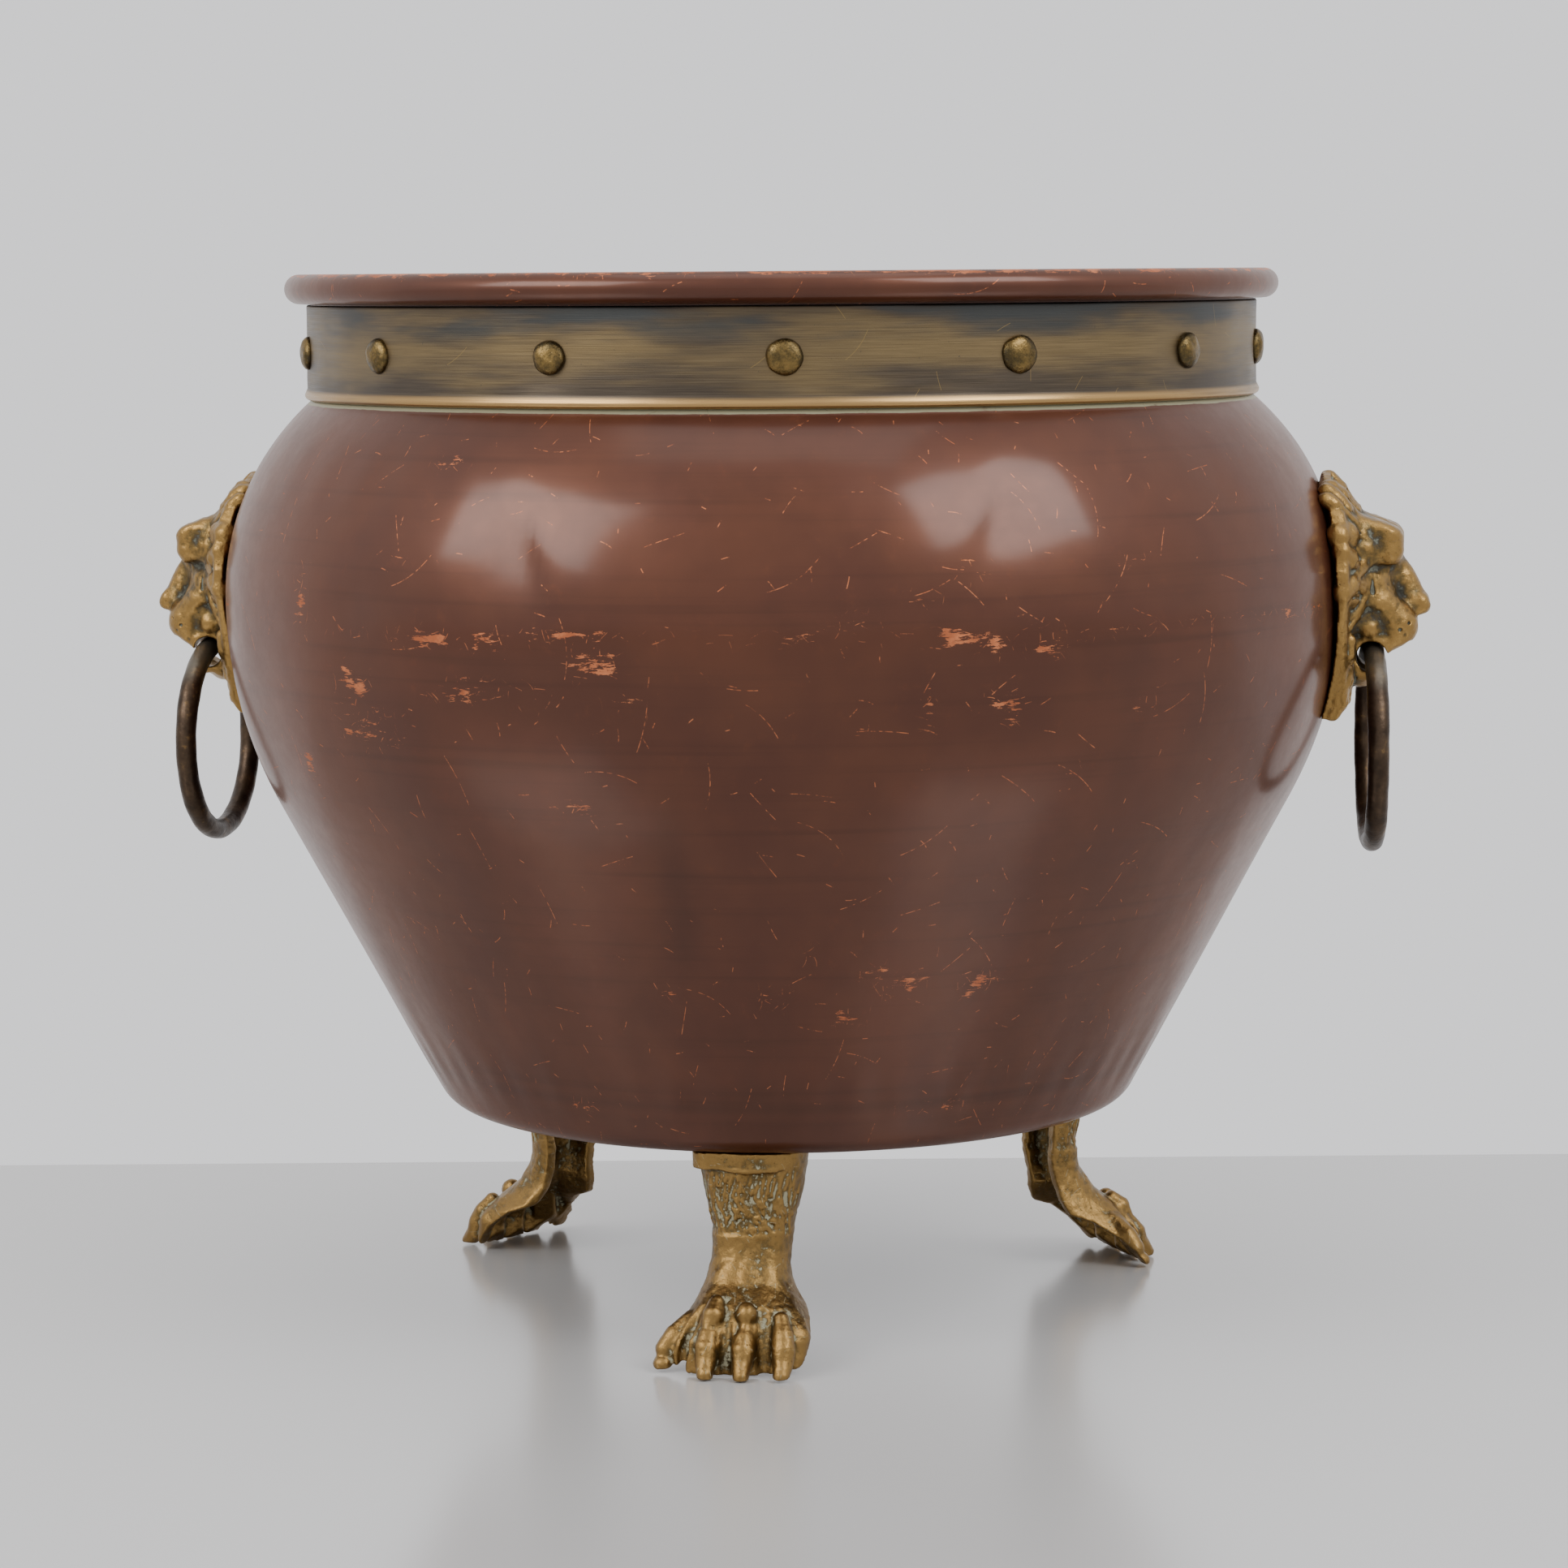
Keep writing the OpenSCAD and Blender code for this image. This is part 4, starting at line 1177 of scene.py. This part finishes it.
def brushed_brass():
    """Brass strip, polished along its length and left to tarnish: olive brown, blue-grey at the top, where
    the tint is partly tarnish and partly a painted reflection.

    The brushing draws reflections out up and down; the bead along the lower edge is rubbed bright, and its
    bright colour is partly a painted highlight."""
    material, tree, surface = new_material("brass_strip_brushed_tarnished")
    at = surface_mm(tree)
    hair = blotches(surface_mm(tree, (0.01, 1.0, 1.0)), 0.28, 3.0, 0.7)
    bands = blotches(surface_mm(tree, (0.04, 1.0, 1.0)), 2.6, 3.0, 0.6, (0.0, 9.0, 0.0))
    clouds = blotches(surface_mm(tree, (0.16, 1.0, 1.0)), 9.0, 3.0, 0.55, (17.0, 3.0, 0.0))
    gold = over("#6b5b42", "#7f6d4e", ramp(hair, 0.3, 0.7))
    tarnish = over("#484038", "#584f44", ramp(hair, 0.3, 0.7))
    # The middle of the strip stays golden and tarnish creeps in from both edges: partly real tarnish, partly
    # a painted reflection that darkens away from the middle
    height = put(tree, "ShaderNodeSeparateXYZ", ins={0: at}, out=1)
    tarnish_and_reflection_from_middle = abs(height - (rivet_z + 1.5)) * 0.035
    tarnish_and_painted_reflection = clouds + bands * 0.4 + tarnish_and_reflection_from_middle
    colour = over(gold, tarnish, ramp(tarnish_and_painted_reflection, 0.62, 1.12))
    # Painted reflection, partly tarnish: a blue-grey tint over the top of the strip
    top = ramp(height, band_z1 - 11.0, band_z1 - 4.0)
    top_tarnish_and_reflection = ramp(clouds, 0.4, 0.66) * top
    colour = over(colour, "#3f4547", top_tarnish_and_reflection * 0.7)
    spots = ramp(blotches(at, 1.7, 3.0, 0.7, (2.0, 8.0, 0.0)), 0.66, 0.74)
    colour = over(colour, "#2e2a20", spots * 0.7)
    # Painted highlight, partly real rubbing: the rounded bead along the lower edge is coloured bright
    bright = ramp(height, band_z0 + 3.3, band_z0 + 1.9) * ramp(bands, 0.25, 0.5, 0.55, 1.0)
    colour = over(colour, "#a98858", bright)
    fine = scratches(at, 14.0, 5.0, 0.12, 0.35, 5)
    colour = over(colour, "#9c8250", fine * 0.5)
    roughness = ramp(hair, 0.2, 0.8, 0.34, 0.5) - bright * 0.12
    normal = bumped([(hair, 0.035), (bands, 0.03), (blotches(at, 24.0, 1.0), 0.25)])
    shader(tree, surface, colour, roughness, 0.95 - spots * 0.5, normal)
    return material


def cast_brass(name, gold, shade, dirt_and_shade, residue, residue_at, gloss, chalk_rubs=0.0):
    """Cast brass, chased and gilt by handling: bright on the high places, brown and dirty in the low ones. As
    the colour follows the relief, the gold on the high places is partly a painted highlight, and the shade
    and dark colours in the low ones are partly painted shade.

    residue is the pale polish or verdigris left in the grooves, from residue_at (0 is the deepest)."""
    material, tree, surface = new_material(name)
    at = object_mm(tree)
    ridge = put(tree, "ShaderNodeAttribute", {"attribute_name": "relief_fine"}, out=2)
    rise = put(tree, "ShaderNodeAttribute", {"attribute_name": "relief_broad"}, out=2)
    grain = blotches(at, 1.1, 4.0, 0.7)
    clouds = blotches(at, 7.0, 3.0, 0.6, (5.0, 9.0, 2.0))
    wander = (grain - 0.5) * 0.35 + (clouds - 0.5) * 0.5
    high = ridge * 0.62 + rise * 0.38 + wander
    # Painted highlight and shade, partly real rubbing: high places take the gold colour, low ones the shade
    # colour
    colour = over(shade, gold, ramp(high, 0.4, 0.62))
    # Painted shade, with real dirt: the deepest grooves take the dark colour, which also dulls them
    deep = ramp(high, 0.43, 0.24)
    colour = over(colour, dirt_and_shade, deep)
    dusty = ridge * 0.9 + grain * 0.55 + clouds * 0.5
    chalk = ramp(dusty, residue_at + 0.62, residue_at + 0.5) * ramp(rise, 0.1, 0.3)
    slanted = put(tree, "ShaderNodeVectorRotate", {"rotation_type": "EULER_XYZ"},
                  {"Vector": at, "Rotation": (1.2, 0.3, 0.5)})
    rubs = scratches(slanted, 2.4, 1.6, 0.12, 0.5, 4) * ramp(grain, 0.45, 0.6)
    chalk = chalk | rubs * chalk_rubs
    colour = over(colour, residue, chalk * 0.85)
    pits = ramp(blotches(at, 0.8, 3.0, 0.7, (8.0, 1.0, 4.0)), 0.63, 0.72)
    colour = over(colour, dirt_and_shade, pits * 0.6)
    dull = deep | chalk
    roughness = ramp(grain, 0.2, 0.8, gloss, gloss + 0.12) + dull * 0.35
    metallic = 1.0 - dull * 0.8
    normal = bumped([(grain, 0.16), (blotches(at, 0.45, 2.0, 0.6), 0.05), (pits, -0.08)])
    shader(tree, surface, colour, roughness, metallic, normal)
    return material


def ring_bronze():
    """Bronze wire gone dark brown, with the gold of the metal showing where hands and the jaw rub it."""
    material, tree, surface = new_material("bronze_wire_dark_brown")
    at = object_mm(tree)
    grain = blotches(at, 1.4, 4.0, 0.7)
    clouds = blotches(at, 6.5, 3.0, 0.65, (7.0, 2.0, 1.0))
    colour = over("#33281f", "#4f3f30", ramp(clouds, 0.3, 0.7))
    rubbed = ramp(clouds * 0.65 + grain * 0.35, 0.56, 0.66)
    colour = over(colour, "#7a603c", rubbed * 0.7)
    z = put(tree, "ShaderNodeSeparateXYZ", ins={0: at}, out=2)
    near_jaw = ramp(z, pivot_z - 9.0, pivot_z - 2.0)
    colour = over(colour, "#7a7468", near_jaw * 0.6)
    roughness = ramp(grain, 0.2, 0.8, 0.3, 0.5)
    normal = bumped([(clouds, 0.2), (grain, 0.08)])
    shader(tree, surface, colour, roughness, 0.85, normal)
    return material


def plain_brass():
    """Turned brass studs, nuts, washers and screws, dulled inside the pot."""
    material, tree, surface = new_material("brass_turned_dull")
    at = object_mm(tree)
    grain = blotches(at, 0.9, 3.0, 0.6)
    colour = over("#6f5a30", "#a08246", ramp(grain, 0.3, 0.7))
    normal = bumped([(grain, 0.05)])
    shader(tree, surface, colour, ramp(grain, 0.2, 0.8, 0.35, 0.5), 0.95, normal)
    return material


def iron_wire():
    """Iron wire inside the rolled rim, black with mill scale and a little rust."""
    material, tree, surface = new_material("iron_wire_mill_scale")
    at = object_mm(tree)
    rust = blotches(at, 5.0, 4.0, 0.7)
    colour = over("#2b2928", "#5a3a28", ramp(rust, 0.5, 0.7))
    shader(tree, surface, colour, ramp(rust, 0.3, 0.7, 0.45, 0.8), 0.6, bumped([(rust, 0.1)]))
    return material


def pale_floor():
    """A pale satin floor: even light grey with broad, faint reflections."""
    material, tree, surface = new_material("satin_grey_board")
    at = object_mm(tree)
    clouds = blotches(at, 240.0, 2.0)
    colour = over("#bfbebd", "#c6c5c4", clouds)
    shader(tree, surface, colour, ramp(clouds, 0.3, 0.7, 0.16, 0.24), 0.25)
    return material


# ---------------------------------------------------------------- putting it together

def set_point_values(obj, label, values):
    obj.data.attributes.new(label, "FLOAT", "POINT").data.foreach_set("value", np.asarray(values, np.float32))


# Places where the patina is rubbed: angle round the pot, height, half length, half height, strength
WEAR = (
    (-117, 198, 12, 2.6, 1.0), (-111.5, 196.5, 5, 2.0, 0.8), (-105.8, 199.5, 3, 2.5, 0.8),
    (-101.5, 199.5, 9, 1.8, 0.9), (-99.5, 193, 9, 5.0, 0.75), (-96, 183, 9, 5.0, 0.45),
    (-79.8, 200.5, 5, 1.6, 0.8), (-75, 202, 7, 4.5, 0.5), (-65.5, 198.5, 9, 3.0, 1.0),
    (-62, 196, 5, 3.0, 0.8), (-56.7, 195.5, 6, 3.0, 0.9), (-60.9, 181, 7, 5.0, 0.8),
    (-68.5, 182, 2.5, 9.0, 0.6), (-73.8, 176, 5, 1.4, 0.6), (-128, 185, 9, 6.0, 0.75),
    (-127, 173, 14, 9.0, 0.62), (-139, 161, 5, 7.0, 0.7), (-136, 206, 4, 14.0, 0.62),
    (-113, 184.5, 12, 4.0, 0.75), (-106, 184, 9, 5.0, 0.5), (-103, 154.5, 6, 3.5, 0.6),
    (-74.5, 98.5, 9, 4.0, 0.62), (-67.5, 106, 9, 4.0, 0.7), (-57.7, 105, 9, 4.5, 0.7),
    (-84, 103, 7, 5.0, 0.62), (-96.4, 104.2, 5, 3.0, 0.6), (-71, 110, 6, 3.5, 0.62),
    (-78.6, 115, 6, 5.0, 0.5), (-64.4, 217, 6, 5.0, 0.7), (-69, 208.5, 6, 3.0, 0.6),
    (-47, 216.5, 8, 3.0, 0.5), (-45, 181, 7, 6.0, 0.5), (-121, 217, 5, 1.4, 0.75),
    (-118, 241.5, 8, 2.5, 0.6), (-113, 69, 10, 3.0, 0.7), (-60, 70, 20, 3.0, 0.5),
    (-20, 199, 30, 2.0, 0.7), (20, 199, 26, 2.2, 0.8), (48, 198, 16, 3.0, 0.9), (75, 201, 20, 2.0, 0.8),
    (100, 198, 14, 3.4, 0.9), (128, 199, 22, 2.2, 0.8), (160, 200, 24, 2.0, 0.7),
    (-160, 200, 22, 2.2, 0.8), (60, 176, 14, 8.0, 0.6), (112, 150, 12, 7.0, 0.6), (30, 120, 12, 8.0, 0.5),
    (140, 108, 14, 6.0, 0.6), (85, 226, 10, 4.0, 0.6), (5, 150, 14, 6.0, 0.4), (170, 140, 14, 7.0, 0.5),
    (-25, 163, 10, 6.0, 0.45),
)


def worn_at(turn, z):
    """How rubbed the patina is at places on the pot, from 0 to 1 and a little over."""
    worn = 0.42 * np.exp(-((z - belly_z + 1.0) / 2.6) ** 2)
    for angle, high, wide, tall, strength in WEAR:
        u = ((turn - math.radians(angle) + math.pi) % (2 * math.pi) - math.pi) * surface_r
        off_centre = np.abs(u / wide) ** 2.4 + np.abs((z - high) / tall) ** 2.4
        worn = np.maximum(worn, strength * np.exp(-off_centre))
    rim_high = np.exp(-((z - rim_top) / 1.3) ** 2)
    return np.maximum(worn, 0.8 * rim_high)


def finish_pot(pot):
    """Gives the pot's mesh its wear, stain and joint values."""
    at = np.empty(len(pot.data.vertices) * 3, dtype=np.float32)
    pot.data.vertices.foreach_get("co", at)
    at = at.reshape(-1, 3) / MM
    turn, r, z = np.arctan2(at[:, 1], at[:, 0]), np.hypot(at[:, 0], at[:, 1]), at[:, 2]
    middle_of_wall = np.interp(z, [base_z, 143, belly_z, neck_z, 290], [80, 139, 153, 129.5, 129.5])
    outside = (r > middle_of_wall) | (z > 283)
    set_point_values(pot, "wear", np.where(outside, worn_at(turn, z), 0.0))
    # Dark turned rings above the base: height, half height, strength
    rings = sum(strength * np.exp(-((z - high) / tall) ** 2)
                for high, tall, strength in ((71.5, 1.6, 1.0), (76.5, 1.2, 0.8), (66.0, 2.0, 0.5)))
    u = ((turn - math.radians(-93.5) + math.pi) % (2 * math.pi) - math.pi) * surface_r
    run = 0.55 * np.exp(-(u / 6.0) ** 2) * np.clip((165 - z) / 25, 0, 1) * np.clip((z - 105) / 12, 0, 1)
    inside = np.where(outside, 0.0, 0.85)
    set_point_values(pot, "stain", np.clip(0.5 * rings * outside + run * outside + inside, 0, 1))
    set_point_values(pot, "joint", np.where(outside, np.exp(-((z - band_z0 + 0.6) / 9.0) ** 4), 0.0))


def set_rivet_relief(rivets):
    """Relief values for the rivets: the crown of each head takes the lighter brass colour, partly rubbed
    metal and partly a painted highlight; its foot and the tails take the darker, duller colour, partly
    painted shade.
    """
    at = np.empty(len(rivets.data.vertices) * 3, dtype=np.float32)
    rivets.data.vertices.foreach_get("co", at)
    at = at.reshape(-1, 3) / MM
    # Painted highlight, partly real rubbing: the further out a point stands, the lighter its colour
    crown = np.clip((np.hypot(at[:, 0], at[:, 1]) - band_r) / 2.4, 0, 1)
    for label in ("relief_fine", "relief_broad"):
        set_point_values(rivets, label, 0.43 + 0.07 * crown)


def outward(obj):
    """Turns the faces outwards if the closed shape is inside out."""
    mesh = obj.data
    mesh.calc_loop_triangles()
    corners = np.empty(len(mesh.loop_triangles) * 3, dtype=np.int32)
    mesh.loop_triangles.foreach_get("vertices", corners)
    at = np.empty(len(mesh.vertices) * 3, dtype=np.float32)
    mesh.vertices.foreach_get("co", at)
    a, b, c = (at.reshape(-1, 3)[corners.reshape(-1, 3)[:, k]].astype(np.float64) for k in range(3))
    if np.einsum("ij,ij->i", a, np.cross(b, c)).sum() < 0:
        mesh.flip_normals()
    return obj


def place(obj, body, slot, *nodes):
    outward(obj)
    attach(obj, body)
    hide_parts(*nodes)


TABLE_EDGE = 183.0                             # the table ends this far behind the pot's axis
TABLE_SIZE = 6000.0                            # and reaches this far to the front and the sides


def make_floor(material):
    ahead = np.array([-math.sin(CAMERA_TURN), math.cos(CAMERA_TURN), 0.0])
    aside = np.array([math.cos(CAMERA_TURN), math.sin(CAMERA_TURN), 0.0])
    outline_of_top = ((-TABLE_SIZE, -TABLE_SIZE), (TABLE_SIZE, -TABLE_SIZE), (TABLE_SIZE, TABLE_EDGE),
                      (-TABLE_SIZE, TABLE_EDGE))
    corners = [u * aside + v * ahead for u, v in outline_of_top]
    floor = mesh_object("table", corners, [(0, 1, 2, 3)], material, smooth=False)


def light_studio():
    world = bpy.data.worlds.new("studio")
    world.use_nodes = True
    world.node_tree.nodes["Background"].inputs["Color"].default_value = srgb("#cfcfd1")
    world.node_tree.nodes["Background"].inputs["Strength"].default_value = 1.78
    bpy.context.scene.world = world
    softbox("left_softbox", -46, 32, 1.5, 0.8, 0.7, 13, (1.0, 0.99, 0.98))
    softbox("right_softbox", 58, 40, 1.5, 0.8, 0.7, 13, (0.98, 0.99, 1.0))
    softbox("overhead", 0, 86, 1.9, 1.4, 1.4, 8, (1.0, 1.0, 1.0))


make_camera()
light_studio()
make_floor(pale_floor())

copper = patinated_copper()
pot = make_pot(copper)
finish_pot(pot)
place(pot, "pot", "patinated_copper", "body")

place(make_band(brushed_brass()), "pot", "band_brass", "neck_band")

# The gold, shade and dark colours given to cast_brass are partly painted highlight and painted shade
dome_brass = cast_brass("brass_rivet_hammered", "#7f683e", "#4a402b", "#2b271d", "#6b6654", -0.1, 0.27)
rivets = grown("hand_set_rivets", rivet_tree(dome_brass), {
    "Count": RIVETS, "Band radius": band_r * MM, "Height": rivet_z * MM, "Turn": -math.pi / 2 + RIVET_TURN,
    "Drift": RIVET_DRIFT, "Head radius": 4.8 * MM, "Head height": 2.4 * MM, "Shank radius": 1.6 * MM,
    "Tail radius": 3.2 * MM, "Grip": (wall + band_t + 0.05) * MM, "Tail height": 0.95 * MM, "Seed": 5})
set_rivet_relief(rivets)
place(rivets, "pot", "rivet_brass", "band_rivets")

# The gold, shade and dark colours given to cast_brass are partly painted highlight and painted shade
mask_brass = cast_brass("brass_mask_cast_chased", "#937443", "#635234", "#2c281e", "#6e7062", 0.17, 0.27,
                        chalk_rubs=0.25)
mask_clay = model_mask().fire()
for side, name in ((1, "right"), (-1, "left")):
    mask = mask_clay.cast("lion_mask_" + name, mask_brass, 0.0 if side > 0 else math.pi)
    place(mask, "pot", "mask_brass", "mask_" + name)

bronze = ring_bronze()
for side, name in ((1, "right"), (-1, "left")):
    place(make_ring("handle_ring_" + name, side, bronze), "ring_" + name, "ring_bronze", "ring_" + name)

# The gold, shade and dark colours given to cast_brass are partly painted highlight and painted shade
paw_brass = cast_brass("brass_paw_cast_aged", "#866a3e", "#52452d", "#292319", "#a09c80", 0.27, 0.3,
                       chalk_rubs=0.8)
paw_clay = model_paw().fire()
for name, turn in (("front", -90), ("back_right", 30), ("back_left", 150)):
    paw = paw_clay.cast("paw_foot_" + name, paw_brass, math.radians(turn))
    place(paw, "pot", "foot_brass", "foot_" + name)

fixing_brass, iron = plain_brass(), iron_wire()
for name, node in frame["nodes"].items():
    if not node.hide_render:
        node.data.materials.clear()
        node.data.materials.append(iron if name == "rim_wire" else fixing_brass)
